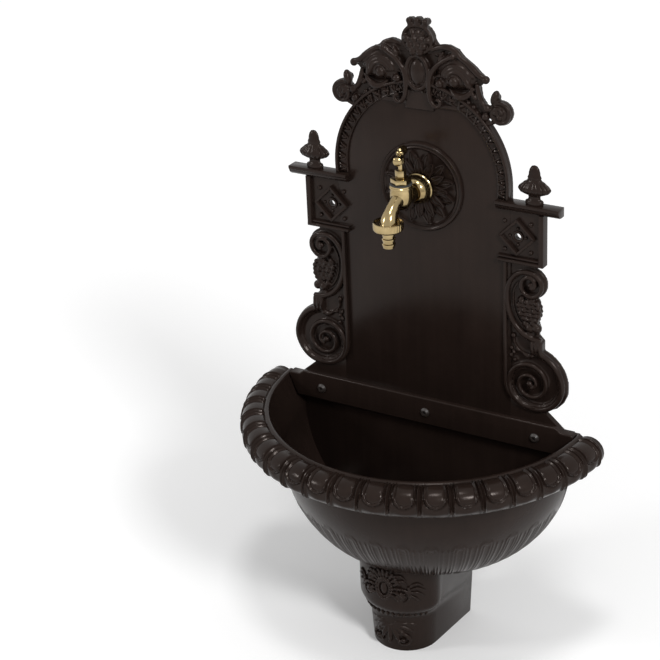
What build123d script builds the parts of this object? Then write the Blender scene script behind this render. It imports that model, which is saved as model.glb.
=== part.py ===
from build123d import *
import os
from math import acos, atan2, cos, degrees, hypot, pi, radians, sin, sqrt

# Wall fountain: a cast plate with a brass tap, bolted to a half-round bowl on a console.
# Millimetres. The wall is the plane Y 0, the front is towards -Y, and the foot stands on Z 0.

# Console
console_height = 66.0        # foot to the seat of the bowl
console_half_width = 46.0    # at the foot, against the wall
console_nose = 40.0          # radius of the nose, at the foot
console_depth = 119.0        # wall to the nose, at the foot
console_wall = 5.0
console_draft = 3.5          # degrees that the sides lean out towards the top
console_web = 6.0            # plate under the bowl that carries it
corner_radius = 8.0          # back corners of the console
block_half_width = 40.0      # carved block under the bowl, against the wall
block_nose = 57.0
block_depth = 131.0
block_foot = 64.0            # height where the carved block steps out
block_reveal = 13.0          # slope under the block

# Bowl
bowl_height = 215.0          # seat to the top of the rim
bowl_straight = 12.5         # wall to the centre of the half circle
bowl_radius = 169.0          # outside of the belly, under the rim
belly_radius = 125.0         # curve of the belly
pad_radius = 46.0            # flat under the bowl
bowl_wall = 5.0
bowl_floor = 6.0
wall_rise = 58.5             # leaning wall, from the belly up to the mouth
rim_radius = 219.5           # outer edge of the rim
rim_height = 23.0            # mouth down to the lower edge
rim_edge = 4.0               # slope under the edge
rim_hollow = 6.0             # rise of the underside, from the edge in to the wall
rim_inner = 187.0            # mouth of the bowl
rim_bead = 6.5               # flat fillet round the mouth
back_set = 6.0               # gap behind the back wall, for the nuts
back_wall = 5.0

# Plate: depths are forward of the wall
plate_edge = 12.0            # back edge to the frame's front
field_recess = 5.0           # frame's front to the plain field
cast_wall = 4.5              # thickness of the field
strip_drop = 26.0            # foot of the plate below the rim
strip_rise = 8.0             # top of the screw strip above the rim
strip_gap = 1.0              # strip ends clear of the bowl's inside
arch_rise = 276.0            # strip to the centre of the arch
arch_radius = 108.0
arch_band = 14.0             # leaf moulding round the arch
leaf_pitch = 12.0            # leaves of the moulding
leaf_share = 0.8             # width of a leaf as a share of the pitch
rib_width = 5.0              # rib that frames the field
box_rise = 192.0             # strip to the foot of the shoulder boxes
box_height = 60.0
box_half_width = 148.5
box_border = 5.0
ledge_reach = 168.5
ledge_thickness = 11.0
ledge_depth = 16.0

# Scrolls on each side of the field
eye_offset = 132.3           # both scroll eyes, from the centre line
lower_eye_rise = 47.5
lower_scroll = 41.5          # radius of the large scroll
upper_eye_rise = 168.5
upper_scroll = 17.0
scroll_bead = 5.0            # width of the raised bead at its start
scroll_pitch = 14.0          # each turn inside the last
scroll_start = 80.0          # degrees where the bead leaves the step
scroll_half_turns = 4
scroll_relief = 5.0          # bead above the ground
boss_sides = 10              # facets of buds, grapes and studs
boss_top = 0.55              # top of a boss as a share of its foot
boss_height = 0.8            # height of a small boss as a share of its radius
step_rise = 91.0             # strip to the step over the large scroll
step_height = 11.0
step_reach = 142.5
fruit_radius = 20.0          # ground of the fruit, inwards from the eyes
fruit_reach = 138.0
fruit_height = 72.0
grape_radius = 4.5
grape_rows = 4
grape_nest = 1.7             # rows of grapes apart, in grape radii
curl_radius = 44.5           # bead between the step and the small scroll
scroll_margin = 2.5          # plain edge outside the large scroll
scroll_eye = 5.0             # radius of the large scroll's eye
upper_eye_radius = 3.0
upper_bead = 3.5
upper_pitch = 9.0
upper_start = 120.0
upper_half_turns = 3
foot_reach = 163.0           # foot of the field, on the strip
foot_slope = 16.0
fillet_width = 2.5           # outer edge of the arch
leaf_relief = 4.0

# Crest
crest_rise = 72.0            # top of the arch to the top of the crest
bulb_half = 17.0             # basket over the cartouche
bud_spacing = 9.0
crest_shield = 77.0          # height of the ground behind the cartouche
crest_shoulder = 72.0
cartouche_width = 29.0
cartouche_height = 46.0
cartouche_rise = 12.0        # top of the arch to the cartouche
crest_relief = 4.0
crest_rim = 14.0             # crest beyond the edge of the arch
crest_drop = 42.0            # top of the arch to the lower ends of the crest
bud_radius = 5.0
lobe_share = 0.85            # boss on a lobe as a share of the lobe
lobe_height = 0.45           # height of that boss as a share of the lobe
# Lobes on each side: degrees from the top, reach beyond the arch, radius
crest_lobes = [(15.6, 26.0, 17.0), (28.8, 18.7, 18.0), (36.0, 31.6, 6.0), (49.8, 19.0, 12.0), (47.9, 30.8, 4.0)]

# Finials on the ledges
finial_offset = 137.0
finial_height = 45.0
finial_skirt = 19.0
finial_foot = 10.0
finial_flat = 0.5            # depth as a share of the width
knob_ribs = 16
knob_ring = 5.0              # heights on the finial, from the ledge
knob_neck = 11.0
knob_skirt = 18.0
knob_crown = 25.0
knob_shoulder = 30.0
knob_tip = 38.0
knob_neck_radius = 7.0
knob_crown_radius = 13.0
knob_end = 2.0
peg_radius = 2.5             # stud under the finial
peg_length = 6.0

# Wall screw holes in the shoulder boxes
screw_spacing = 234.0
screw_rise = 222.0
screw_hole = 4.0             # radius
diamond_half = 20.5
stud_offset = 15.5
stud_radius = 2.2

# Strip screws through plate and bowl, and the screws of the console
strip_screw_spacing = 140.0
strip_screw_drop = 10.0      # screws below the rim
bolt_radius = 3.0
hole_clearance = 0.3
head_radius = 5.6
head_height = 3.3
head_edge = 1.2              # straight edge of the head
head_crown = 3.4             # flat top of the head
socket_width = 4.0
socket_floor = 1.1
washer_radius = 6.0
washer_thickness = 1.0
nut_width = 10.0
nut_height = 4.5
console_bolt_offset = 30.0

# Drain
drain_offset = 34.0          # from the wall
drain_radius = 13.2
drain_bore = 10.5
drain_flange = 19.0
drain_flange_thickness = 2.5
drain_seal = 2.0
drain_nut_width = 34.0
drain_nut_height = 7.0
drain_tail = 16.0            # free thread below the nut
drain_bar = 2.5
drain_runout = 1.0           # groove where the free thread ends

# Rosette round the tap
rosette_radius = 52.0
rosette_thickness = 6.0
rosette_step = 4.0
petal_count = 12
petal_length = 23.0
petal_width = 10.0
petal_relief = 3.0
petal_foot = 19.0            # tap's axis to the foot of the petals

# Tap
tap_rise = 262.0             # strip to the tap's inlet
inlet_radius = 10.4          # half-inch pipe thread
inlet_bore = 4.5
inlet_tail = 9.0             # free thread behind the lock nut
inlet_runout = 1.0           # groove where the free thread ends
locknut_width = 27.0
locknut_height = 4.0
seal_thickness = 1.5
seal_radius = 14.0
shoulder_thickness = 3.0     # flange of the body on the seal
collar_radius = 17.0
collar_length = 17.0
collar_rim = 5.0             # straight edge of the collar
collar_lip = 1.5
neck_radius = 9.0
spindle_reach = 47.0         # front of the field to the spindle
chamber_radius = 8.5
chamber_wall = 4.0
globe_swell = 1.5            # belly of the body beyond its top ring
seat_rise = 6.0              # inlet axis to the valve seat
seat_bore = 4.5
chamber_height = 13.0        # seat to the top of the body
spout_start = 5.0            # spout's axis above the seat
spout_reach = 30.5           # spindle to the outlet
spout_radius = 8.0
spout_bore = 4.5
spout_level = 9.0            # straight run where the spout leaves the body, and above the outlet
spout_bend = 12.0
outlet_drop = 14.0           # inlet axis down to the top of the outlet thread
outlet_radius = 12.5
outlet_length = 4.5
nut_radius = 17.0
union_lip = 2.0              # inner edge of the union nut, under the hose tail
hose_radius = 6.4
hose_bore = 4.5
hose_ridge = 1.2
hose_ridges = 3
ridge_share = 0.8            # slope of a ridge as a share of its pitch
hose_length = 21.5
hose_flange = 2.0
hose_seal = 1.5
gasket_thickness = 1.0
bonnet_width = 20.0
bonnet_height = 6.0
neck_outer = 4.4             # threaded neck of the bonnet
bonnet_neck = 7.0
packing_radius = 3.7
packing_height = 3.0
gland_width = 11.0
gland_height = 9.0
spindle_radius = 2.6
screw_radius = 4.2           # screwed part of the spindle
screw_length = 8.0
stem_rise = 8.0              # free spindle above the gland
jumper_thickness = 2.0
valve_washer = 2.5
jumper_radius = 6.8
valve_lift = 3.0
handle_length = 44.0
handle_end = 5.5             # radius of the bar's ends
handle_waist = 3.0
handle_hub = 4.6
hub_height = 15.0
bar_rise = 8.25              # bar above the hub's foot
hub_roof = 4.0
cap_screw = 1.5
cap_screw_length = 8.0
handle_yaw = 20.0            # degrees from straight ahead, as found
fit_gap = 0.1                # round fits and threads

# Heights and depths that follow
rim_top = console_height + bowl_height
rim_foot = rim_top - rim_height
strip_foot = rim_top - strip_drop
strip_top = rim_top + strip_rise
plate_back = back_set + back_wall
frame_front = plate_back + plate_edge
field_front = frame_front - field_recess
field_back = field_front - cast_wall
arch_centre = strip_top + arch_rise
box_foot = strip_top + box_rise
box_top = box_foot + box_height
ledge_top = box_top + ledge_thickness
lower_eye = strip_top + lower_eye_rise
upper_eye = strip_top + upper_eye_rise
screw_height = strip_top + screw_rise
strip_screw_height = rim_top - strip_screw_drop
tap_height = strip_top + tap_rise
field_half = arch_radius - arch_band
hole_radius = bolt_radius + hole_clearance
standing = (Align.CENTER, Align.CENTER, Align.MIN)


def relief(sketch, back, front):
    """A cast form on the plate, between two depths forward of the wall."""
    return extrude(Plane.XZ.offset(back) * sketch, front - back)


def both_sides(shape):
    """The shape and its mirror image across the centre line."""
    return shape + mirror(shape, about=Plane.YZ)


def pair(shape):
    """Two separate solids, one on each side of the centre line."""
    return Compound(children=[shape, mirror(shape, about=Plane.YZ)])


def along_wall(radius, back, front, x=0.0, z=0.0):
    """A cylinder square to the wall, between two depths."""
    return relief(Pos(x, z) * Circle(radius), back, front)


def upright(radius, low, high, x=0.0, y=0.0):
    """A vertical cylinder between two heights."""
    return Pos(x, y, low) * extrude(Circle(radius), high - low)


def hexagon(width):
    """A hexagon by its width across the flats."""
    return RegularPolygon(width / 2, 6, major_radius=False)


def save(name, shape):
    shape.label = name
    export_step(shape, os.path.join("parts", name + ".step"))


os.makedirs("parts", exist_ok=True)


# Bowl: one profile turned through a half circle, with a straight run to the wall
belly_top = rim_top - wall_rise
belly_centre = (bowl_radius - belly_radius, belly_top)
pad_run = hypot(pad_radius - belly_centre[0], console_height - belly_top)
pad_angle = atan2(console_height - belly_top, pad_radius - belly_centre[0])
cone_angle = pad_angle + acos(belly_radius / pad_run)
mouth_foot = (bowl_radius - bowl_wall, belly_top)
mouth_lean = (rim_inner - mouth_foot[0]) / wall_rise


def belly_lines(inset, foot):
    """Belly from the rim down to the height foot, inset from the outside."""
    radius = belly_radius - inset
    points = [Vector(*belly_centre) + Vector(radius, 0).rotate(Axis.Z, degrees(cone_angle * share))
              for share in (0, 0.5, 1)]
    run = (points[2].Y - foot) * sin(-cone_angle) / cos(cone_angle)
    return [ThreePointArc(*points), Line(points[2], (points[2].X - run, foot))]


def rim_lines(last):
    """Leaning wall and rim, from the belly round the edge to the mouth and on to the point last."""
    under_height = rim_foot + rim_hollow
    under = (bowl_radius + mouth_lean * (under_height - belly_top), under_height)
    lower = (rim_radius - rim_edge, rim_foot)
    edge = (rim_radius, rim_foot + rim_edge)
    bead = (rim_inner + rim_bead, rim_top)
    quarter = sqrt(0.5)
    swell = (bead[0] + quarter * (edge[0] - bead[0]), edge[1] + quarter * (bead[1] - edge[1]))
    return [
        Line((bowl_radius, belly_top), under),
        Line(under, lower),
        Line(lower, edge),
        ThreePointArc(edge, swell, bead),
        Line(bead, (rim_inner, rim_top)),
        Line((rim_inner, rim_top), last),
    ]


def bowl_section(hollow):
    """Half section of the bowl, as a shell or filled to the rim."""
    outside = belly_lines(0, console_height)
    foot = (0, console_height)
    if hollow:
        inside = belly_lines(bowl_wall, console_height + bowl_floor)
        floor = (0, console_height + bowl_floor)
        edges = rim_lines(mouth_foot) + inside + [Line(inside[-1] @ 1, floor), Line(floor, foot)]
    else:
        edges = rim_lines((0, rim_top)) + [Line((0, rim_top), foot)]
    return make_face(edges + outside + [Line(foot, outside[-1] @ 1)])


def along_bowl(section, back):
    """The section turned round the front, and run straight to the depth back."""
    start = Plane.XZ.offset(bowl_straight) * section
    front = revolve(start, Axis((0, -bowl_straight, 0), (0, 0, -1)), 180)
    return front + both_sides(extrude(start, back - bowl_straight))


strip_screws = [-strip_screw_spacing, 0, strip_screw_spacing]
console_bolts = [-console_bolt_offset, console_bolt_offset]
bowl_form = along_bowl(bowl_section(hollow=False), 0)
wall_sheet = Pos(0, rim_top / 2) * Rectangle(2 * rim_radius, rim_top)
bowl = along_bowl(bowl_section(hollow=True), back_set)
bowl += relief(wall_sheet, back_set, plate_back) & bowl_form
for x in strip_screws:
    bowl -= along_wall(hole_radius, back_set, plate_back, x, strip_screw_height)
bowl -= upright(drain_radius + hole_clearance, console_height, console_height + bowl_floor, 0, -drain_offset)
for x in console_bolts:
    bowl -= upright(hole_radius, console_height, console_height + bowl_floor, x, -drain_offset)
save("bowl", bowl)


# Console: a hollow tapered column, cut to the bowl, with a web that carries it
def column_plan(half_width, nose, depth, inset=0.0):
    """Plan of the column: square to the wall, with sides that run to a round nose."""
    back = Line((inset - half_width, -inset), (half_width - inset, -inset))
    front = CenterArc((0, nose - depth), nose - inset, 0, 360)
    plan = make_hull([back, front])
    corners = plan.vertices().sort_by(Axis.Y)[-2:]
    return fillet(corners, corner_radius - min(inset, corner_radius / 2))


column_top = console_height + bowl_height / 2
column = extrude(column_plan(console_half_width, console_nose, console_depth), column_top, taper=-console_draft)
block_plan = column_plan(block_half_width, block_nose, block_depth)
block_run = column_top - block_foot
block = Pos(0, 0, block_foot) * extrude(block_plan, block_run)
slope_plan = column_plan(block_half_width, block_nose - block_reveal, block_depth - block_reveal)
slope_foot = block_foot - block_reveal
block_slope = loft([Pos(0, 0, slope_foot) * slope_plan, Pos(0, 0, block_foot) * block_plan], ruled=True)
hollow_plan = column_plan(console_half_width, console_nose, console_depth, console_wall)
hollow = extrude(hollow_plan, console_height - console_web)
console = column + block + block_slope - hollow - bowl_form
console -= Pos(0, 0, column_top / 2) * Box(4 * block_half_width, 4 * block_depth, column_top,
                                           align=(Align.CENTER, Align.MIN, Align.CENTER))
console -= upright(drain_radius + hole_clearance, 0, console_height, 0, -drain_offset)
for x in console_bolts:
    console -= upright(hole_radius, 0, console_height, x, -drain_offset)
save("console", console)


# Plate: the plain field under the arch, with boxes, scrolls, crest and screw strip
def spiral_band(x, z, radius, width, pitch, angle, half_turns):
    """A flat bead that winds in clockwise, in half circles about two centres."""
    outer, inner = [], []
    for k in range(half_turns):
        shift = pitch / 4 * (-1) ** k
        middle = (x + shift * cos(radians(angle)), z + shift * sin(radians(angle)))
        reach = radius - pitch / 4 - k * pitch / 2
        start = angle + 180 * (k % 2)
        outer.append(CenterArc(middle, reach, start, -180))
        inner.append(CenterArc(middle, reach - width, start, -180))
    ends = [Line(outer[0] @ 0, inner[0] @ 0), Line(outer[-1] @ 1, inner[-1] @ 1)]
    return make_face(outer + inner + ends)


def span(left, right, low, high):
    """A rectangle by its sides."""
    return Pos((left + right) / 2, (low + high) / 2) * Rectangle(right - left, high - low)


def arch(half):
    """An upright with a round top, by its half width."""
    return span(-half, half, strip_top, arch_centre) + Pos(0, arch_centre) * Circle(half)


def button(x, z, radius, height, base):
    """A raised boss with flat facets on the depth base."""
    foot = Plane.XZ.offset(base) * Pos(x, z) * RegularPolygon(radius, boss_sides)
    top = Plane.XZ.offset(base + height) * Pos(x, z) * RegularPolygon(radius * boss_top, boss_sides)
    return loft([foot, top], ruled=True)


strip_half = rim_inner - strip_gap
strip_end = strip_half - strip_drop * mouth_lean
strip = make_face(Polyline((strip_end, strip_foot), (strip_half, rim_top), (strip_half, strip_top),
                           (-strip_half, strip_top), (-strip_half, rim_top), (-strip_end, strip_foot),
                           close=True))
foot_half = foot_reach - foot_slope
foot = make_face(Polyline((foot_reach, strip_top), (foot_half, strip_top + foot_slope),
                          (-foot_half, strip_top + foot_slope), (-foot_reach, strip_top), close=True))

step_foot = strip_top + step_rise
step_top = step_foot + step_height
curl_height = (step_top + upper_eye) / 2
step = span(eye_offset - step_height, step_reach, step_foot, step_top)
wing = Pos(eye_offset, lower_eye) * Circle(lower_scroll)
wing += Pos(eye_offset, upper_eye) * Circle(upper_scroll)
wing += span(field_half, eye_offset - upper_scroll / 2, lower_eye, box_foot)
fruit_middle = eye_offset - fruit_radius
wing += Pos(fruit_middle, curl_height) * Ellipse(fruit_reach - fruit_middle, fruit_height / 2)
wing += step
box = span(field_half, box_half_width, box_foot, box_top)
panel = span(field_half + rib_width, box_half_width - box_border, box_foot + box_border, box_top)

curl = Circle(curl_radius) - Circle(curl_radius - scroll_bead)
curl = Pos(field_half + rib_width + scroll_bead + curl_radius, curl_height) * curl
curl &= span(field_half, eye_offset + scroll_bead, step_top, upper_eye + upper_scroll / 2)
rib_sweep = Circle(eye_offset - field_half) - Circle(eye_offset - field_half - rib_width)
rib_sweep = Pos(eye_offset, lower_eye) * rib_sweep
rib_sweep &= span(field_half, eye_offset, lower_eye - lower_scroll, lower_eye)
rib = span(field_half, field_half + rib_width, lower_eye, box_foot + box_border) + rib_sweep
scrolls = spiral_band(eye_offset, lower_eye, lower_scroll - scroll_margin, scroll_bead, scroll_pitch,
                      scroll_start, scroll_half_turns)
scrolls += spiral_band(eye_offset, upper_eye, upper_scroll, upper_bead, upper_pitch,
                       upper_start, upper_half_turns)
scrolls += curl

def on_crest(turn, beyond):
    """A place on the crest: degrees from its top, and distance beyond the arch."""
    reach = arch_radius + beyond
    return reach * sin(radians(turn)), arch_centre + reach * cos(radians(turn))


arch_top = arch_centre + arch_radius
crest_top = arch_top + crest_rise
crest_foot = arch_top - crest_drop
crest_reach = arch_radius + crest_rim
bulb_height = crest_top - bud_radius - bulb_half
crest = Pos(0, arch_centre) * Circle(crest_reach) - Pos(0, arch_centre) * Circle(field_half)
crest &= span(-crest_reach, crest_reach, crest_foot, crest_top)
crest += Pos(0, crest_foot + crest_shield / 2) * Ellipse(crest_shoulder, crest_shield / 2)
crest += Pos(0, bulb_height) * Ellipse(bulb_half, bulb_half + bud_radius)
for turn, beyond, radius in crest_lobes:
    crest += both_sides(Pos(on_crest(turn, beyond)) * Circle(radius))

ground = arch(arch_radius) + foot + strip + both_sides(wing + box) + crest
plate = relief(ground, plate_back, field_front)
plate -= relief(arch(field_half - cast_wall), plate_back, field_back)
plate -= both_sides(relief(offset(panel, -cast_wall), plate_back, field_back))
above_ledge = span(-arch_radius, arch_radius, ledge_top, crest_top)
band = (arch(arch_radius) - arch(field_half)) & above_ledge
edge = (arch(arch_radius) - arch(arch_radius - fillet_width)) & above_ledge
raised = [
    relief(strip, field_front, frame_front),
    relief(band, field_front, field_front + leaf_relief / 2),
    relief(edge, field_front, frame_front),
]
leaf_count = round(pi * arch_radius / leaf_pitch)
leaf_step = 180 / leaf_count
leaf_half = radians(leaf_step) * arch_radius * leaf_share / 2
leaf_tip = field_half + fillet_width / 2
leaf = make_face(Polyline((arch_radius - fillet_width, leaf_half), (leaf_tip, 0),
                          (arch_radius - fillet_width, -leaf_half), close=True))
for k in range(leaf_count):
    turned = Pos(0, arch_centre) * Rot(0, 0, (k + 0.5) * leaf_step) * leaf
    raised.append(relief(turned, field_front, field_front + leaf_relief))

ledge = relief(span(field_half, ledge_reach, box_top, ledge_top), plate_back, plate_back + ledge_depth)
under_front = ledge.edges().filter_by(Axis.X).sort_by(Axis.Z)[:2].sort_by(Axis.Y)[0]
ledge = fillet(under_front, ledge_thickness / 2)
ledge_middle = plate_back + ledge_depth / 2
screw_x = screw_spacing / 2
diamond = Rot(0, 0, 45) * Rectangle(diamond_half * sqrt(2), diamond_half * sqrt(2))
diamond = Pos(screw_x, screw_height) * (diamond - offset(diamond, -fillet_width))
ring = Pos(screw_x, screw_height) * Circle(screw_hole + fillet_width)
side = [
    ledge,
    relief(box - panel, field_front, frame_front),
    relief(rib, field_front, frame_front),
    relief(step, field_front, frame_front),
    relief(scrolls, field_front, field_front + scroll_relief),
    relief(diamond, field_front, field_front + leaf_relief),
    relief(ring, field_front, field_front + leaf_relief / 2),
    button(eye_offset, lower_eye, scroll_eye, scroll_relief, field_front),
    button(eye_offset, upper_eye, upper_eye_radius, scroll_relief, field_front),
]
grape_middle = fruit_reach - grape_rows * grape_radius
for row in range(grape_rows):
    for place in range(row + 1):
        x = grape_middle + (place - row / 2) * 2 * grape_radius
        z = step_top + grape_radius + row * grape_nest * grape_radius
        side.append(button(x, z, grape_radius, grape_radius * boss_height, field_front))
for x in (-stud_offset, stud_offset):
    for z in (-stud_offset, stud_offset):
        side.append(button(screw_x + x, screw_height + z, stud_radius, stud_radius * boss_height, field_front))
for turn, beyond, radius in crest_lobes:
    x, z = on_crest(turn, beyond)
    side.append(button(x, z, radius * lobe_share, radius * lobe_height, field_front))
raised += side + [mirror(piece, about=Plane.YZ) for piece in side]

cartouche = Ellipse(cartouche_width / 2, cartouche_height / 2)
cartouche -= Ellipse(cartouche_width / 2 - scroll_bead, cartouche_height / 2 - scroll_bead)
cartouche_centre = arch_top + cartouche_rise
raised.append(relief(Pos(0, cartouche_centre) * cartouche, field_front, frame_front + crest_relief))
raised.append(button(0, cartouche_centre, cartouche_width / 2 - scroll_bead, crest_relief, field_front))
raised.append(button(0, bulb_height, bulb_half * lobe_share, crest_relief * 2, field_front))
for x in (-bud_spacing, 0, bud_spacing):
    bud = button(x, crest_top - bud_radius, bud_radius * lobe_share, bud_radius * boss_height, field_front)
    raised.append(bud)
plate += raised
plate -= along_wall(inlet_radius + hole_clearance, plate_back, field_front, 0, tap_height)
for x in (-screw_x, screw_x):
    plate -= along_wall(screw_hole, plate_back, frame_front, x, screw_height)
for x in (-finial_offset, finial_offset):
    plate -= upright(peg_radius + fit_gap, ledge_top - peg_length, ledge_top, x, -ledge_middle)
for x in strip_screws:
    plate -= along_wall(hole_radius, plate_back, frame_front, x, strip_screw_height)
save("back_plate", plate)


# Rosette: a stepped disc with two tiers of pointed petals
rosette_front = field_front + rosette_thickness
petal = make_face(Polyline((petal_foot, 0), (petal_foot + petal_length / 2, petal_width / 2),
                           (petal_foot + petal_length, 0), (petal_foot + petal_length / 2, -petal_width / 2),
                           close=True))
rosette = [along_wall(rosette_radius, field_front, rosette_front - rosette_step),
           along_wall(petal_foot + petal_length + rosette_step, field_front, rosette_front)]
for k in range(2 * petal_count):
    tier = petal_relief * (1 + k % 2) / 2
    turned = Rot(0, 0, k * 180 / petal_count) * petal
    rosette.append(extrude(Plane.XZ.offset(rosette_front) * turned, tier, taper=20))
rosette = Pos(0, 0, tap_height) * (Part() + rosette)
rosette -= along_wall(inlet_radius + hole_clearance, field_front, rosette_front + petal_relief, 0, tap_height)
save("rosette", rosette)


# Finials: turned knobs, flattened to the ledge, each on a stud
knob_lines = [(0, finial_foot), (knob_ring, finial_foot), (knob_ring, knob_neck_radius),
              (knob_neck, knob_neck_radius), (knob_skirt, finial_skirt), (knob_crown, knob_crown_radius),
              (knob_shoulder, knob_neck_radius), (knob_tip, knob_neck_radius), (finial_height, knob_end)]
knob = []
for (low, wide), (high, narrow) in zip(knob_lines, knob_lines[1:]):
    if high > low:
        rings = []
        for level, reach in ((low, wide), (high, narrow)):
            turns = [2 * pi * k / knob_ribs for k in range(knob_ribs)]
            corners = [(reach * cos(turn), reach * finial_flat * sin(turn)) for turn in turns]
            rings.append(Pos(0, 0, level) * make_face(Polyline(*corners, close=True)))
        knob.append(loft(rings, ruled=True))
knob = Part() + knob + upright(peg_radius, -peg_length, knob_ring)
right_finial = Pos(finial_offset, -ledge_middle, ledge_top) * knob
save("right_finial", right_finial)
save("left_finial", mirror(right_finial, about=Plane.YZ))


# Screws, washers and nuts: along the strip, and in the bowl's floor
def button_screw(length):
    """A button-head screw pointing down, with its head standing on Z 0."""
    head = make_face(Polyline((0, 0), (head_radius, 0), (head_radius, head_edge), (head_crown, head_height),
                              (0, head_height), close=True))
    screw = revolve(Plane.XZ * head, Axis.Z) + upright(bolt_radius, -length, socket_floor)
    return screw - Pos(0, 0, socket_floor) * extrude(hexagon(socket_width), head_height)


def washer(radius, bore, thickness):
    return extrude(Circle(radius) - Circle(bore), thickness)


def nut(width, bore, height):
    return extrude(hexagon(width) - Circle(bore), height)


facing_out = Rot(90, 0, 0)
strip_grip = frame_front - back_set + washer_thickness + nut_height
screw = facing_out * button_screw(strip_grip)
ring = facing_out * washer(washer_radius, hole_radius, washer_thickness)
back_nut = facing_out * nut(nut_width, bolt_radius + fit_gap, nut_height)
washer_back = back_set - washer_thickness
at_screws = [Pos(x, 0, strip_screw_height) for x in strip_screws]
save("strip_screws", Compound(children=[at * Pos(0, -frame_front, 0) * screw for at in at_screws]))
save("strip_washers", Compound(children=[at * Pos(0, -washer_back, 0) * ring for at in at_screws]))
save("strip_nuts", Compound(children=[at * Pos(0, nut_height - washer_back, 0) * back_nut for at in at_screws]))

floor_top = console_height + bowl_floor
web_foot = console_height - console_web
floor_grip = bowl_floor + console_web + washer_thickness + nut_height
floor_washer = washer(washer_radius, hole_radius, washer_thickness)
floor_nut = nut(nut_width, bolt_radius + fit_gap, nut_height)
floor_screw = button_screw(floor_grip)
nut_foot = web_foot - washer_thickness - nut_height
at_bolt = Pos(console_bolt_offset, -drain_offset, 0)
save("console_screws", pair(at_bolt * Pos(0, 0, floor_top) * floor_screw))
save("console_washers", pair(at_bolt * Pos(0, 0, nut_foot + nut_height) * floor_washer))
save("console_nuts", pair(at_bolt * Pos(0, 0, nut_foot) * floor_nut))


# Drain: a flanged tail with a cross in its mouth, through bowl and console
flange_foot = floor_top + drain_seal
flange_top = flange_foot + drain_flange_thickness
drain_nut_foot = web_foot - drain_nut_height
drain_end = drain_nut_foot - drain_tail
drain = upright(drain_radius, drain_end, flange_top)
drain += upright(drain_flange, flange_foot, flange_top)
drain -= upright(drain_bore, drain_end, flange_top)
bar = Pos(0, 0, flange_top - drain_bar / 2) * Box(2 * drain_radius, drain_bar, drain_bar)
drain += bar
drain += Rot(0, 0, 90) * bar
drain -= upright(drain_radius, drain_nut_foot - drain_runout, drain_nut_foot) - upright(
    drain_radius - drain_runout / 2, drain_nut_foot - drain_runout, drain_nut_foot)
at_drain = Pos(0, -drain_offset, 0)
save("drain_flange", at_drain * drain)
seal_ring = washer(drain_flange, drain_radius + fit_gap, drain_seal)
save("drain_seal", at_drain * Pos(0, 0, floor_top) * seal_ring)
back_nut = nut(drain_nut_width, drain_radius + fit_gap, drain_nut_height)
save("drain_nut", at_drain * Pos(0, 0, drain_nut_foot) * back_nut)


# Tap: the inlet runs out of the wall, the spindle stands on it, the spout bends down
def ring_pipe(outer, inner, low, high):
    """An upright ring on the spindle, between two heights."""
    return Pos(0, -spindle_depth, low) * washer(outer, inner, high - low)


spindle_depth = field_front + spindle_reach
seal_front = rosette_front + seal_thickness
shoulder_front = seal_front + shoulder_thickness
collar_front = rosette_front + collar_length
seat_height = tap_height + seat_rise
body_top = seat_height + chamber_height
tail_back = field_back - locknut_height - inlet_tail
outlet_top = tap_height - outlet_drop
outlet_foot = outlet_top - outlet_length

inlet_locknut = facing_out * nut(locknut_width, inlet_radius + fit_gap, locknut_height)
save("inlet_locknut", Pos(0, locknut_height - field_back, tap_height) * inlet_locknut)
inlet_seal = facing_out * washer(seal_radius, inlet_radius + fit_gap, seal_thickness)
save("inlet_seal", Pos(0, -rosette_front, tap_height) * inlet_seal)

bell = make_face(Polyline((0, rosette_front), (collar_radius, rosette_front),
                          (collar_radius, rosette_front + collar_rim),
                          (neck_radius + 2 * collar_lip, collar_front - collar_rim),
                          (neck_radius + collar_lip, collar_front), (0, collar_front), close=True))
collar = facing_out * revolve(Plane.XZ * bell, Axis.Z)
collar -= along_wall(neck_radius + fit_gap, rosette_front, collar_front)
collar -= along_wall(seal_radius + hole_clearance, rosette_front, shoulder_front + hole_clearance)
save("tap_collar", Pos(0, 0, tap_height) * collar)

bend_start = seat_height + spout_start
spout_depth = spindle_depth + spout_reach
spout_path = Plane.YZ * FilletPolyline((-spindle_depth, bend_start), (-spindle_depth - spout_level, bend_start),
                                       (-spout_depth, outlet_top + spout_level), (-spout_depth, outlet_foot),
                                       radius=spout_bend)


def along_spout(radius):
    """A round section carried along the spout."""
    start = Plane(origin=spout_path @ 0, z_dir=spout_path % 0)
    return sweep(start * Circle(radius), path=spout_path)


globe_radius = chamber_radius + chamber_wall
inlet_bar = along_wall(inlet_radius, tail_back, shoulder_front)
groove_front = field_back - locknut_height
groove_back = groove_front - inlet_runout
inlet_bar -= along_wall(inlet_radius, groove_back, groove_front) - along_wall(
    inlet_radius - inlet_runout / 2, groove_back, groove_front)
inlet_bar += along_wall(seal_radius, seal_front, shoulder_front)
inlet_bar += along_wall(neck_radius, seal_front, spindle_depth)
body = Pos(0, 0, tap_height) * inlet_bar
body += Pos(0, -spindle_depth, tap_height + seat_rise / 2) * Sphere(globe_radius + globe_swell)
body += upright(globe_radius, tap_height, body_top, 0, -spindle_depth)
body += along_spout(spout_radius)
body += upright(outlet_radius, outlet_foot, outlet_top, 0, -spout_depth)
body -= along_wall(inlet_bore, tail_back, spindle_depth, 0, tap_height)
body -= upright(seat_bore, tap_height, seat_height, 0, -spindle_depth)
body -= upright(chamber_radius, seat_height, body_top, 0, -spindle_depth)
body -= along_spout(spout_bore)
save("tap_body", body)

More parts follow.
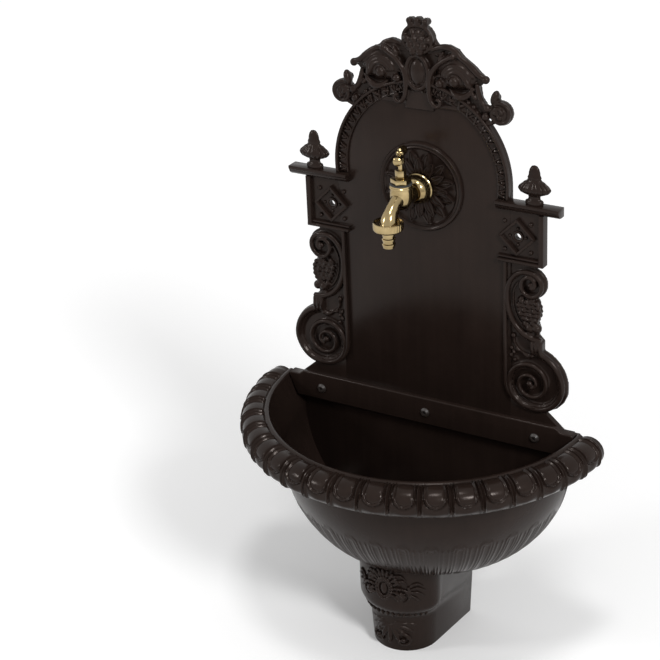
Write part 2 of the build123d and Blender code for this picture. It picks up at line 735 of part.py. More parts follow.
bonnet_foot = body_top + gasket_thickness
bonnet_top = bonnet_foot + bonnet_height
neck_top = bonnet_top + bonnet_neck
washer_top = seat_height + valve_washer
jumper_top = washer_top + jumper_thickness
plug_foot = jumper_top + valve_lift + hole_clearance
screw_top = jumper_top + screw_length
gland_foot = bonnet_top + hole_clearance
gland_top = gland_foot + gland_height
packing_foot = neck_top - packing_height
on_spindle = Pos(0, -spindle_depth, 0)
save("bonnet_gasket", ring_pipe(globe_radius, chamber_radius, body_top, bonnet_foot))
bonnet = on_spindle * Pos(0, 0, bonnet_foot) * extrude(hexagon(bonnet_width), bonnet_height)
bonnet += upright(chamber_radius - fit_gap, plug_foot, bonnet_foot, 0, -spindle_depth)
bonnet += upright(neck_outer, bonnet_top, neck_top, 0, -spindle_depth)
bonnet -= upright(screw_radius + fit_gap, plug_foot, screw_top + valve_lift + hole_clearance, 0, -spindle_depth)
bonnet -= upright(spindle_radius + fit_gap, plug_foot, neck_top, 0, -spindle_depth)
bonnet -= upright(packing_radius, packing_foot, neck_top, 0, -spindle_depth)
save("bonnet", bonnet)
save("gland_packing", ring_pipe(packing_radius, spindle_radius + fit_gap, packing_foot, neck_top))
gland_nut = on_spindle * Pos(0, 0, gland_foot) * extrude(hexagon(gland_width), gland_height)
gland_nut -= upright(neck_outer + fit_gap, gland_foot, neck_top, 0, -spindle_depth)
gland_nut -= upright(spindle_radius + fit_gap, gland_foot, gland_top, 0, -spindle_depth)
save("gland_nut", gland_nut)
save("valve_washer", on_spindle * upright(jumper_radius, seat_height, washer_top))
save("valve_jumper", on_spindle * upright(jumper_radius, washer_top, jumper_top))

hub_foot = gland_top + stem_rise
hub_top = hub_foot + hub_height
stem_top = hub_top - hub_roof
handle_height = hub_foot + bar_rise
spindle = upright(screw_radius, jumper_top, screw_top) + upright(spindle_radius, jumper_top, stem_top)
spindle -= upright(cap_screw + fit_gap, stem_top - cap_screw_length, stem_top)
save("spindle", on_spindle * spindle)
bar_half = handle_length / 2 - handle_end
lobe = handle_end / 2
bar = make_face(Polyline((0, 0), (handle_waist, 0), (handle_waist, bar_half - handle_end),
                         (handle_end, bar_half - lobe), (handle_end, bar_half + lobe),
                         (lobe, bar_half + handle_end), (0, bar_half + handle_end), close=True))
arm = facing_out * revolve(Plane.XZ * bar, Axis.Z)
handle = arm + Rot(0, 0, 180) * arm
handle = Pos(0, 0, handle_height) * Rot(0, 0, handle_yaw) * handle
handle += upright(handle_hub, hub_foot, hub_top)
handle -= upright(spindle_radius + fit_gap, hub_foot, stem_top)
handle -= upright(cap_screw + fit_gap, stem_top, hub_top)
save("tap_handle", on_spindle * handle)
cap = upright(cap_screw, stem_top - cap_screw_length + hole_clearance, hub_top)
cap += Pos(0, 0, hub_top) * Cone(handle_waist, handle_waist / 2, handle_waist / 2, align=standing)
save("handle_screw", on_spindle * cap)

at_outlet = Pos(0, -spout_depth, 0)
hose_seal_foot = outlet_foot - hose_seal
flange_under = hose_seal_foot - hose_flange
union_foot = flange_under - union_lip
hose_end = flange_under - hose_length
hose_washer = washer(outlet_radius, hose_bore, hose_seal)
save("hose_washer", at_outlet * Pos(0, 0, hose_seal_foot) * hose_washer)
hose = upright(outlet_radius - fit_gap, flange_under, hose_seal_foot)
hose += upright(hose_radius, hose_end, flange_under)
ridge_run = (hose_length - union_lip) / (hose_ridges + 1)
for k in range(hose_ridges):
    ridge_foot = hose_end + k * ridge_run
    ridge = Cone(hose_radius, hose_radius + hose_ridge, ridge_run * ridge_share, align=standing)
    hose += Pos(0, 0, ridge_foot) * ridge
hose -= upright(hose_bore, hose_end, hose_seal_foot)
save("hose_tail", at_outlet * hose)
union = upright(nut_radius, union_foot, outlet_top)
union -= upright(outlet_radius + fit_gap, flange_under, outlet_top)
union -= upright(hose_radius + hose_ridge + hole_clearance, union_foot, flange_under)
save("union_nut", at_outlet * union)
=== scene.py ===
import math
import bmesh
import bpy
from mathutils import Matrix, Vector


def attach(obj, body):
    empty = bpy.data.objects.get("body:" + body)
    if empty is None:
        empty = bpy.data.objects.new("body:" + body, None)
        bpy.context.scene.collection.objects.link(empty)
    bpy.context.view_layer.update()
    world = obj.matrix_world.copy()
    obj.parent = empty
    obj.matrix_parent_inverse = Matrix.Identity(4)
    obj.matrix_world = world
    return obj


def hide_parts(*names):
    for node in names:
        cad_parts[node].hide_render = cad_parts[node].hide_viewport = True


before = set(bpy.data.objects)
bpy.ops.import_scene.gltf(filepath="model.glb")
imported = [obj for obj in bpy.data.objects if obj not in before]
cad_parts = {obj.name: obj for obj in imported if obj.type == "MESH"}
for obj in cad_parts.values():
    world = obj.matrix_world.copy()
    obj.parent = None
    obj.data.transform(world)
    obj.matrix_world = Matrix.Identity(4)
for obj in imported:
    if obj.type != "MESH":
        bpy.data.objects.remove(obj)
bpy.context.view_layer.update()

# Console: the hollow cast foot under the bowl, in dark bronze paint.
# Its sides run from the wall to a round nose, which carries a carved skin of leaves and beads.
# Sizes in this file are millimetres until a mesh is placed.


class Shade:
    """A socket in a material, with arithmetic on its value."""

    def __init__(self, tree, socket=None):
        self.tree = tree
        self.socket = socket

    def node(self, kind, settings, values, output=0):
        made = self.tree.nodes.new(kind)
        for name, setting in settings.items():
            setattr(made, name, setting)
        for key, value in values.items():
            if isinstance(value, Shade):
                self.tree.links.new(value.socket, made.inputs[key])
            else:
                made.inputs[key].default_value = value
        return Shade(self.tree, made.outputs[output])

    def math(self, operation, first, second):
        return self.node("ShaderNodeMath", {"operation": operation}, {0: first, 1: second})

    def __add__(self, other):
        return self.math("ADD", self, other)

    __radd__ = __add__

    def __mul__(self, other):
        return self.math("MULTIPLY", self, other)

    def noise(self, scale, detail, stretch=(1, 1, 1)):
        place = self.node("ShaderNodeMapping", {}, {"Vector": self, "Scale": stretch})
        return self.node("ShaderNodeTexNoise", {}, {"Vector": place, "Scale": scale, "Detail": detail})

    def blend(self, low, high):
        return self.node("ShaderNodeMix", {"data_type": "RGBA"}, {0: self, 6: (*low, 1), 7: (*high, 1)}, 2)

    def into(self, shader, name):
        self.tree.links.new(self.socket, shader.inputs[name])


def new_finish(name, metallic, specular):
    """A material with its shader, and the piece's own coordinates."""
    material = bpy.data.materials.new(name)
    material.use_nodes = True
    shader = material.node_tree.nodes["Principled BSDF"]
    shader.inputs["Metallic"].default_value = metallic
    shader.inputs["Specular IOR Level"].default_value = specular
    place = Shade(material.node_tree).node("ShaderNodeTexCoord", {}, {}, "Object")
    return material, shader, place


def bump(height, strength, distance, shader):
    """Relief from a height, in metres."""
    relief = {"Strength": strength, "Distance": distance, "Height": height}
    height.node("ShaderNodeBump", {}, relief).into(shader, "Normal")


bronze_dark = (0.0080, 0.0050, 0.0040)
bronze_warm = (0.0205, 0.0128, 0.0102)
bronze_paint, shader, place = new_finish("bronze_paint", 0.0, 0.13)
shader.inputs["Specular Tint"].default_value = (1.0, 0.88, 0.82, 1.0)
mottle = place.noise(26.0, 4.0)
brushing = place.noise(9.0, 3.0, (14.0, 14.0, 0.7))
tone = mottle * 0.55 + brushing * 0.45
tone.blend(bronze_dark, bronze_warm).into(shader, "Base Color")
(0.12 + mottle * 0.20).into(shader, "Roughness")
skin = place.noise(420.0, 3.0)
bump(skin + mottle, 0.22, 0.0004, shader)


def put(bm, name, body, slot, material, *nodes, sharp=40.0):
    """Brings a finished mesh to metres, and sets it on its body in place of the nodes."""
    bmesh.ops.remove_doubles(bm, verts=bm.verts, dist=0.002)
    bmesh.ops.scale(bm, vec=(0.001, 0.001, 0.001), verts=bm.verts)
    bmesh.ops.recalc_face_normals(bm, faces=bm.faces)
    mesh = bpy.data.meshes.new(name)
    bm.to_mesh(mesh)
    bm.free()
    mesh.polygons.foreach_set("use_smooth", [True] * len(mesh.polygons))
    mesh.set_sharp_from_angle(angle=math.radians(sharp))
    mesh.materials.append(material)
    piece = bpy.data.objects.new(name, mesh)
    bpy.context.scene.collection.objects.link(piece)
    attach(piece, body)
    if nodes:
        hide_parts(*nodes)


def add_mesh(bm, mesh, matrix):
    """Adds a mesh to a bmesh, moved by the matrix."""
    held = len(bm.verts)
    bm.from_mesh(mesh)
    bm.verts.ensure_lookup_table()
    bmesh.ops.transform(bm, matrix=matrix, verts=bm.verts[held:])


def bead(bm, points, radii, sides=2, run=5, closed=False):
    """A round bead through the points, thick as its radii say."""
    curve = bpy.data.curves.new("bead", "CURVE")
    curve.dimensions = "3D"
    curve.bevel_depth = 1.0
    curve.bevel_resolution = sides
    curve.use_fill_caps = True
    curve.resolution_u = run
    line = curve.splines.new("BEZIER")
    line.bezier_points.add(len(points) - 1)
    if isinstance(radii, (int, float)):
        radii = [radii] * len(points)
    for knot, point, radius in zip(line.bezier_points, points, radii):
        knot.co = point
        knot.radius = radius
        knot.handle_left_type = knot.handle_right_type = "AUTO"
    line.use_cyclic_u = closed
    holder = bpy.data.objects.new("bead", curve)
    mesh = bpy.data.meshes.new_from_object(holder)
    add_mesh(bm, mesh, Matrix.Identity(4))
    bpy.data.objects.remove(holder)
    bpy.data.curves.remove(curve)
    bpy.data.meshes.remove(mesh)


def drop(bm, start, end, width, out, height, around=12, rings=8):
    """A leaf or drop between two points: its width lies on the surface and its height points out."""
    start, end, out = Vector(start), Vector(end), Vector(out).normalized()
    along = (end - start) / 2
    side = along.cross(out).normalized() * width / 2
    up = side.cross(along).normalized() * height
    if up.dot(out) < 0:
        up.negate()
    turn = Matrix((side, up, along)).transposed().to_4x4()
    bmesh.ops.create_uvsphere(bm, u_segments=around, v_segments=rings, radius=1.0,
                              matrix=Matrix.Translation((start + end) / 2) @ turn)


def ball(bm, middle, radius, around=12, rings=8):
    """A ball round its middle."""
    bmesh.ops.create_uvsphere(bm, u_segments=around, v_segments=rings, radius=radius,
                              matrix=Matrix.Translation(middle))


def fuse(bm, grain, rounds):
    """Melts overlapping forms into one cast skin."""
    mesh = bpy.data.meshes.new("cast")
    bm.to_mesh(mesh)
    bm.free()
    holder = bpy.data.objects.new("cast", mesh)
    bpy.context.scene.collection.objects.link(holder)
    melt = holder.modifiers.new("melt", "REMESH")
    melt.mode = "VOXEL"
    melt.voxel_size = grain
    soften = holder.modifiers.new("soften", "SMOOTH")
    soften.factor = 0.5
    soften.iterations = rounds
    bpy.context.view_layer.update()
    cast = bpy.data.meshes.new_from_object(holder.evaluated_get(bpy.context.evaluated_depsgraph_get()))
    bpy.data.objects.remove(holder)
    fused = bmesh.new()
    fused.from_mesh(cast)
    bpy.data.meshes.remove(mesh)
    bpy.data.meshes.remove(cast)
    return fused


block_radius = 57.0
block_nose = 74.0


def on_nose(across, height, rise, radius=block_radius, middle=block_nose):
    """A point on the round nose: across it from the front, and standing off it."""
    angle = across / radius
    reach = radius + rise
    return Vector((reach * math.sin(angle), -middle - reach * math.cos(angle), height))


def off_nose(across, radius=block_radius):
    """Direction straight off the nose."""
    return Vector((math.sin(across / radius), -math.cos(across / radius), 0.0))


carving = bmesh.new()
shield = 92.5


def on_oval(wide, tall, turn, rise):
    """A point on the nose, on an oval round the shield's middle."""
    return on_nose(wide * math.cos(turn), shield + tall * math.sin(turn), rise)


for k in range(15):
    turn = math.radians(-28 + 236 * k / 14)
    out = off_nose(16.0 * math.cos(turn))
    drop(carving, on_oval(10.6, 14.6, turn, 0.2), on_oval(21.5, 27.5, turn, 1.4), 4.3, out, 3.0, 10, 8)
    ball(carving, on_oval(19.8, 25.6, turn, 2.6), 1.9, 10, 8)
for k in range(22):
    ball(carving, on_oval(9.7, 13.9, 2 * math.pi * k / 22, 2.0), 1.75, 10, 8)
bead(carving, [on_oval(6.8, 10.4, 2 * math.pi * k / 16, 1.6) for k in range(16)], 1.2, closed=True, run=3)
drop(carving, on_nose(0, shield - 8.2, 0.4), on_nose(0, shield + 8.2, 0.4), 9.4, off_nose(0), 3.0)
for side in (-1, 1):
    flower = (20.5 * side, 84.5)
    for k in range(8):
        turn = 2 * math.pi * k / 8
        petal_end = (flower[0] + 6.4 * math.cos(turn), flower[1] + 6.4 * math.sin(turn))
        drop(carving, on_nose(*flower, 1.0), on_nose(*petal_end, 1.0), 3.6, off_nose(flower[0]), 2.4, 10, 6)
    ball(carving, on_nose(*flower, 3.0), 2.0, 10, 8)
    curl = [(flower[0] + side * 9.2 * math.cos(a), flower[1] + 9.2 * math.sin(a))
            for a in (-1.3, -0.6, 0.1, 0.8, 1.5, 2.2)]
    bead(carving, [on_nose(*p, 1.0) for p in curl], [0.9, 1.4, 1.8, 1.8, 1.5, 1.0])
    for start, middle, end in (((12, 111), (20, 111.5), (27, 105)), ((15, 104), (22, 105), (28, 99.5)),
                               ((29, 96), (38, 101), (47, 97)), ((30, 93), (39, 95.5), (50, 90.5)),
                               ((31, 90), (40, 89), (48, 83.5)), ((30, 86), (37, 82), (43, 76))):
        bead(carving, [on_nose(side * a, z, 0.7) for a, z in (start, middle, end)], [1.0, 1.9, 0.7])
        ball(carving, on_nose(side * start[0], start[1], 1.4), 2.0, 10, 8)
column_nose = 79.0
column_skin = (41.2, column_nose)
for k in range(-7, 8):
    spot = 6.0 * k
    drop(carving, on_nose(spot, 50.0, 3.6, *column_skin), on_nose(spot, 57.0, 7.4, *column_skin), 4.2,
         off_nose(spot, 42.0), 2.2, 8, 6)
for k in range(-4, 5):
    turn = math.radians(20 * k - 90)
    for share, width in ((1.0, 7.0), (0.66, 5.6)):
        start = (5.0 * math.cos(turn), 42.0 + 5.0 * math.sin(turn))
        end = (33.0 * share * math.cos(turn), 42.0 + 29.0 * share * math.sin(turn))
        drop(carving, on_nose(*start, 0.2, *column_skin), on_nose(*end, 1.0, *column_skin), width,
             off_nose(start[0], 42.0), 2.4 + share)
        if abs(k) < 3:
            ball(carving, on_nose(*end, 1.6, *column_skin), 2.2, 10, 8)
for side in (-1, 1):
    roll = [(side * (15.0 + 9.0 * math.cos(a)), 17.0 + 7.2 * math.sin(a))
            for a in (3.0, 1.9, 0.9, -0.2, -1.2, -2.3)]
    bead(carving, [on_nose(*p, 1.0, *column_skin) for p in roll], [1.0, 1.7, 2.1, 2.1, 1.7, 1.2])
    ball(carving, on_nose(side * 16.0, 16.0, 1.4, *column_skin), 3.2, 10, 8)
put(fuse(carving, 0.6, 1), "console_carving", "fountain", "cast_aluminium", bronze_paint, sharp=60.0)


def smooth(low, high, value):
    """From nothing to one between two values, with soft ends."""
    share = min(max((value - low) / (high - low), 0.0), 1.0)
    return share * share * (3 - 2 * share)


bowl_middle, seat_radius, seat_height = 12.5, 46.0, 66.0
belly_join, belly_curve_middle, belly_curve = (107.4, 108.0), (17.0, 240.0), 160.0
belly_lift = 13.0


def lifted(radius):
    """Rise of the bowl's underside round the console."""
    return belly_lift * smooth(25, 50, radius) * (1.0 - smooth(50, 140, radius))


def belly_height(radius):
    """Height of the bowl's underside at a distance from its axis."""
    if radius > belly_join[0]:
        height = belly_curve_middle[1] - math.sqrt(belly_curve ** 2 - (radius - belly_curve_middle[0]) ** 2)
    else:
        slope = (belly_join[1] - seat_height) / (belly_join[0] - seat_radius)
        height = seat_height + (radius - seat_radius) * slope
    return max(seat_height, height) + lifted(radius)


def mirrored(line):
    """The mirror image of a line, run the other way."""
    return [(-x, z) for x, z in reversed(line)]


def verts_in(geom):
    """The vertices among what an operation made."""
    return [g for g in geom if isinstance(g, bmesh.types.BMVert)]


console_nose, console_half, console_draft = 40.0, 46.0, 0.061
console_wall, console_web = 5.0, 6.0


def console_line(level, inset):
    """Plan of the console at a height: square to the wall, with sides that run to a round nose."""
    swell = smooth(47, 66, level)
    slim, full = console_nose + console_draft * level - inset, block_radius - inset
    middle = column_nose * (1 - swell) + block_nose * swell
    half = console_half + console_draft * level - inset
    lean = math.atan2(slim - half, middle - inset)
    line = [(half - 5.0, -inset), (half - 1.5, -inset - 1.2), (half, -inset - 5.0)]
    for k in range(33):
        turn = -lean + (math.pi + 2 * lean) * k / 32
        nose = slim + (full - slim) * swell * smooth(-0.15, 0.55, math.sin(turn))
        line.append((nose * math.cos(turn), -middle - nose * math.sin(turn)))
    return line + mirrored(line[:3])


casting = bmesh.new()
loops = []
for inset, shares in ((0.0, [k / 30 for k in range(31)]), (console_wall, [1.0, 0.66, 0.33, 0.0])):
    for share in shares:
        loop = []
        for spot, (x, y) in enumerate(console_line(100.0, inset)):
            level = share * (belly_height(math.hypot(x, y + bowl_middle)) + 2.5)
            loop.append(casting.verts.new((*console_line(level, inset)[spot], level)))
        loops.append(loop)
loops.append(loops[0])
for low, high in zip(loops, loops[1:]):
    for k in range(len(low)):
        nxt = (k + 1) % len(low)
        casting.faces.new((low[k], low[nxt], high[nxt], high[k]))
web = [casting.verts.new((x, y, seat_height - console_web)) for x, y in console_line(40.0, 3.0)]
cap = bmesh.ops.extrude_face_region(casting, geom=[casting.faces.new(web)])["geom"]
bmesh.ops.translate(casting, vec=(0, 0, console_web), verts=verts_in(cap))
put(casting, "console_casting", "fountain", "cast_aluminium", bronze_paint, "console", sharp=45.0)

# Bowl: a half-round shell cast in one with its flat back wall and its rolled rim.
# The rim carries an egg and dart moulding, and the belly is lined with raised flutes.
bowl_wall, bowl_floor, belly_end = 5.0, 72.0, -55.6
mouth, mouth_height = 187.0, 281.0
rim_middle, rim_curve, rim_start, rim_end = (202.0, 264.2), 17.5, 119.0, -100.0
egg_pitch, egg_phase, egg_length, egg_half, egg_radius = 9.0, 1.75, 24.0, 10.2, 205.0
dart_side, dart_rib, dart_tip = 16.1, 13.9, 43.0
flute_pitch, flute_width, flute_top = 11.25, 31.5, 176.0


def steps_between(start, end, count):
    """Points from one to the next, without the last."""
    return [tuple(a + (b - a) * k / count for a, b in zip(start, end)) for k in range(count)]


def round_points(middle, radius, start, end, count):
    """Points on a circle between two angles in degrees, both ends among them."""
    angles = [math.radians(start + (end - start) * k / count) for k in range(count + 1)]
    return [(middle[0] + radius * math.cos(a), middle[1] + radius * math.sin(a)) for a in angles]


def hump(value, width):
    """A bell-shaped rise, one at its middle."""
    return math.exp(-(value / width) ** 2)


def rim_relief(turn, along):
    """Height of the egg and dart moulding, by the turn round the bowl and the way down from the bead."""
    spot = ((turn + egg_phase) / egg_pitch) % 1.0 - 0.5
    side = abs(spot) * math.radians(egg_pitch) * egg_radius
    edge = math.hypot(side, max(0.0, along - egg_length)) - egg_half
    height = 0.9 * math.sqrt(max(0.0, 1.0 - ((edge + egg_half) / (egg_half + 0.4)) ** 2))
    height += 2.4 * hump(edge - 0.6, 0.75) - 0.6 * hump(edge + 1.2, 0.8) - 0.9 * hump(edge - 2.2, 0.7)
    if edge > 1.4:
        height += 2.0 * hump(side - dart_rib, 0.7) - 1.1 * hump(side - dart_side, 0.9)
        height += 2.4 * hump(side - dart_side, 1.7) * hump(along - dart_tip, 3.0)
    height += 1.8 * hump(side, 9.5) * hump(along - 42.5, 4.5)
    ends = smooth(0.2, 1.6, along) * (1.0 - smooth(46.0, 54.0, along))
    return height * ends * (1.0 - smooth(87.5, 89.5, abs(turn)))


def flute_relief(turn, height):
    """Height of the belly's flutes: nested upright loops that run down to the foot."""
    side = abs((turn / flute_pitch) % 1.0 - 0.5) * flute_width
    loop = math.hypot(side, max(0.0, height - flute_top) * 1.05)
    ridges = 0.8 * hump(loop - 7.6, 1.1) + 0.7 * hump(loop - 3.9, 1.0)
    if side > 9.5 and height < flute_top + 3.0:
        ridges += 0.7 * hump(side - 12.4, 1.1)
    return ridges * smooth(seat_height, 74.0, height)


def turned_half(profile, middle, steps):
    """A profile turned round the bowl's front, from one end of the wall to the other."""
    bm = bmesh.new()
    line = [bm.verts.new((r, -middle, z)) for r, z in profile]
    for start, end in zip(line, line[1:]):
        bm.edges.new((start, end))
    bmesh.ops.spin(bm, geom=bm.verts[:] + bm.edges[:], cent=(0, -middle, 0), axis=(0, 0, 1), dvec=(0, 0, 0),
                   angle=-math.pi, steps=steps, use_merge=False, use_duplicate=False)
    bmesh.ops.remove_doubles(bm, verts=bm.verts, dist=0.0001)
    return bm


def out_from(v, middle):
    """Direction and distance from the axis, and the turn from the front in degrees."""
    out = Vector((v.co.x, v.co.y + middle, 0.0))
    return out.normalized(), out.length, math.degrees(math.atan2(out.x, -out.y))


def push(v, out, angle, lift):
    """Moves a vertex off the axis, at an angle above the level."""
    v.co += (out * math.cos(angle) + Vector((0, 0, math.sin(angle)))) * lift


def run_to_wall(bm, wall):
    """Runs the ends straight back to a depth, and closes them."""
    ends = [e for e in bm.edges if e.is_boundary and all(abs(v.co.y) < 14.0 for v in e.verts)]
    for v in verts_in(bmesh.ops.extrude_edge_only(bm, edges=ends)["geom"]):
        v.co.y = -wall
    bmesh.ops.holes_fill(bm, edges=[e for e in bm.edges if e.is_boundary], sides=0)


outside = [(23.0, seat_height)] + steps_between((seat_radius, seat_height), belly_join, 30)
outside += round_points(belly_curve_middle, belly_curve, belly_end, 0, 60)
lip = [(181.0, 256.0), (187.0, 268.0)]
inside = [(189.0, 279.0), (187.2, 279.0), (183.0, 268.0), (177.5, 254.0), (172.0, 240.0)]
inside += round_points(belly_curve_middle, belly_curve - bowl_wall, -3, belly_end, 20)
inside += [(47.0, bowl_floor), (24.0, bowl_floor), (0.0, bowl_floor)]
bowl = turned_half([(0.0, seat_height)] + outside + lip + inside, bowl_middle, 560)
for v in bowl.verts:
    out, radius, turn = out_from(v, bowl_middle)
    if radius > 40.0 and v.co.z < 200.0:
        tip = Vector((radius - belly_curve_middle[0], 0, v.co.z - belly_curve_middle[1]))
        if tip.length > belly_curve - 1.0:
            angle = math.radians(belly_end) if v.co.z < belly_join[1] else math.atan2(tip.z, tip.x)
            push(v, out, angle, flute_relief(turn, v.co.z))
    if v.co.z < 150.0:
        v.co.z += lifted(radius)
run_to_wall(bowl, 6.0)

rim_profile = [(184.0, 262.0), (187.0, 250.0)] + round_points(rim_middle, rim_curve, rim_end, rim_start, 78)
rim_profile += [(192.6, 280.4), (191.4, 281.2), (189.6, 281.5), (188.0, 281.2), (mouth, 280.4),
                (186.0, 276.0), (184.0, 262.0)]
rim = turned_half(rim_profile, bowl_middle, 1120)
for v in rim.verts:
    out, radius, turn = out_from(v, bowl_middle)
    reach, rise = radius - rim_middle[0], v.co.z - rim_middle[1]
    if abs(math.hypot(reach, rise) - rim_curve) < 0.05:
        angle = math.atan2(rise, reach)
        push(v, out, angle, rim_relief(turn, rim_curve * (math.radians(rim_start) - angle)))
run_to_wall(rim, 10.5)
put(rim, "bowl_rim", "fountain", "cast_aluminium", bronze_paint, "bowl", sharp=50.0)


def on_plate(x, z, depth):
    """A point by its place on the plate and its depth in front of the wall."""
    return Vector((x, -depth, z))


def round_edges(bm, edges, size, segments=2):
    """Rounds a form's edges off."""
    bmesh.ops.bevel(bm, geom=list(edges), offset=size, offset_type="OFFSET", affect="EDGES",
                    segments=segments, profile=0.5, material=-1)


def slab(bm, outline, back, front, edge=0.8, segments=2):
    """A flat casting by its outline, with its front edges rounded."""
    held = bm.faces.new([bm.verts.new(on_plate(x, z, back)) for x, z in outline])
    raised = bmesh.ops.extrude_face_region(bm, geom=[held])["geom"]
    bmesh.ops.translate(bm, vec=(0, back - front, 0), verts=verts_in(raised))
    face = [g for g in raised if isinstance(g, bmesh.types.BMFace)][0]
    round_edges(bm, face.edges, edge, segments)


side_line = [(r, belly_height(r) if z < 150.0 else z) for r, z in outside] + lip + [(188.5, 280.0)]
slab(bowl, side_line + mirrored(side_line), 6.2, 11.0, 0.5)
put(bowl, "bowl_shell", "fountain", "cast_aluminium", bronze_paint, "bowl", sharp=50.0)

# Back plate: one casting with a plain arched field, a frame of ribs, two shoulder boxes and a screw strip.
# It stands inside the bowl's mouth, and its foot is screwed to the bowl's back wall.
plate_back, field_front, frame_front = 11.0, 18.0, 23.0
strip_foot, strip_top = 255.0, 289.0
arch_middle, arch_radius, field_half = (0.0, 565.0), 108.0, 94.0
box_foot, box_top, box_half = 481.0, 541.0, 148.5
ledge_top, ledge_end = 552.0, 168.5
screw_x, screw_z, screw_hole = 117.0, 511.0, 4.0
lower_eye, upper_eye = (132.3, 336.5), (132.3, 457.5)


def add_form(bm, form, *places):
    """Adds a finished form to a mesh, once at each place."""
    mesh = bpy.data.meshes.new("form")
    form.to_mesh(mesh)
    form.free()
    for spot in places:
        add_mesh(bm, mesh, spot)
    bpy.data.meshes.remove(mesh)


def oblong(left, low, right, high):
    """Outline of an upright rectangle on the plate."""
    return [(left, low), (right, low), (right, high), (left, high)]


def berry(bm, x, z, rise, radius, *rings):
    """A ball on the plate, with its middle this far in front of the field."""
    ball(bm, on_plate(x, z, field_front + rise), radius, *rings)


def vine(bm, line, rise, radii, **kind):
    """A bead along a line on the plate, this far in front of the field."""
    bead(bm, [on_plate(x, z, field_front + rise) for x, z in line], radii, **kind)


as_drawn, as_mirrored = Matrix.Identity(4), Matrix.Scale(-1, 4, (1, 0, 0))
plate = bmesh.new()
arch = round_points(arch_middle, arch_radius, 0, 180, 72)
slab(plate, [(arch_radius, strip_top)] + arch + [(-arch_radius, strip_top)], plate_back, field_front, 0.6)
foot = [(171.5, 284.0), (147.0, 305.0), (122.0, 318.0)]
slab(plate, foot + mirrored(foot), plate_back, field_front - 0.2, 0.6)
strip = [(175.8, strip_foot), (186.0, mouth_height), (184.0, 284.0), (171.5, 284.0), (165.5, strip_top)]
slab(plate, strip + mirrored(strip), plate_back + 0.2, frame_front, 1.6, 3)
low_angle = math.degrees(math.asin((ledge_top - arch_middle[1]) / arch_radius))


def arch_ring(outer, inner):
    """Outline of a moulding round the arch, above the ledges."""
    return (round_points(arch_middle, outer, low_angle, 180 - low_angle, 96)
            + round_points(arch_middle, inner, 180 - low_angle, low_angle, 96))


slab(plate, arch_ring(arch_radius + 0.1, arch_radius - 3.2), field_front - 1.0, frame_front + 0.5, 1.2, 3)
slab(plate, arch_ring(arch_radius - 2.6, field_half + 0.3), field_front - 1.0, field_front + 1.4, 0.6)
vine(plate, round_points(arch_middle, field_half + 0.6, low_angle, 180 - low_angle, 60), 1.0, 1.3, run=2)
leaf = bmesh.new()
bead(leaf, [(arch_radius - 3.6, -19.6, -5.2), (100.5, -21.2, -3.2), (95.4, -20.4, 0), (100.5, -21.2, 3.2),
            (arch_radius - 3.6, -19.6, 5.2)], [1.0, 1.15, 1.25, 1.15, 1.0], sides=1, run=3)
drop(leaf, (106.0, -19.0, 0.0), (97.0, -20.2, 0.0), 4.2, (0, -1, 0), 2.6, 8, 6)
leaves = 28
turns = [low_angle + (180 - 2 * low_angle) * (k + 0.5) / leaves for k in range(leaves)]
on_arch = Matrix.Translation((0, 0, arch_middle[1]))
add_form(plate, leaf, *[on_arch @ Matrix.Rotation(math.radians(-turn), 4, "Y") for turn in turns])

for side in (-1, 1):
    hole = bmesh.new()
    at_hole = Matrix.Translation(on_plate(side * screw_x, screw_z, plate_back))
    bmesh.ops.create_circle(hole, segments=32, radius=screw_hole,
                            matrix=at_hole @ Matrix.Rotation(math.pi / 2, 4, "X"))
    corners = oblong(field_half, box_foot, box_half, box_top)
    square = [hole.verts.new(on_plate(side * x, z, plate_back)) for x, z in corners]
    sides = [hole.edges.new((square[k], square[(k + 1) % 4])) for k in range(4)]
    bmesh.ops.subdivide_edges(hole, edges=sides, cuts=7)
    bmesh.ops.bridge_loops(hole, edges=hole.edges[:])
    sheet = bmesh.ops.extrude_face_region(hole, geom=hole.faces[:])["geom"]
    bmesh.ops.translate(hole, vec=(0, plate_back - field_front + 0.4, 0), verts=verts_in(sheet))
    add_form(plate, hole, as_drawn)

half_plate = bmesh.new()
outer_bar = oblong(box_half - 5.5, box_foot, box_half + 0.4, box_top)
slab(half_plate, outer_bar, plate_back + 0.3, frame_front, 1.2, 3)
low_bar = oblong(field_half, box_foot - 0.4, box_half + 0.2, box_foot + 3.2)
slab(half_plate, low_bar, plate_back, frame_front + 0.4, 1.0, 3)
inner_bar = oblong(field_half, box_foot + 4.2, box_half - 5.0, box_foot + 6.6)
slab(half_plate, inner_bar, field_front - 1.0, frame_front - 1.6, 0.8)
corner, bar_width = 21.8, 4.2
inner = corner - bar_width
for start, end in (((-1, 0), (0, 1)), ((0, 1), (1, 0)), ((1, 0), (0, -1)), ((0, -1), (-1, 0))):
    bar = [(screw_x + reach * x, screw_z + reach * z)
           for reach, (x, z) in ((corner, start), (corner, end), (inner, end), (inner, start))]
    slab(half_plate, bar, field_front - 1.0, field_front + 4.4, 0.8)
studs = [(x, z, 2.7) for x in (-15.5, 15.5) for z in (-16.5, 16.5)]
studs += [(x, z, 1.9) for x, z in ((0, 9.6), (9.6, 0), (0, -9.6), (-9.6, 0))]
for x, z, radius in studs:
    berry(half_plate, screw_x + x, screw_z + z, 0.0, radius)
vine(half_plate, round_points((screw_x, screw_z), 5.4, 0, 337.5, 15), 0.2, 1.5, closed=True, run=3)

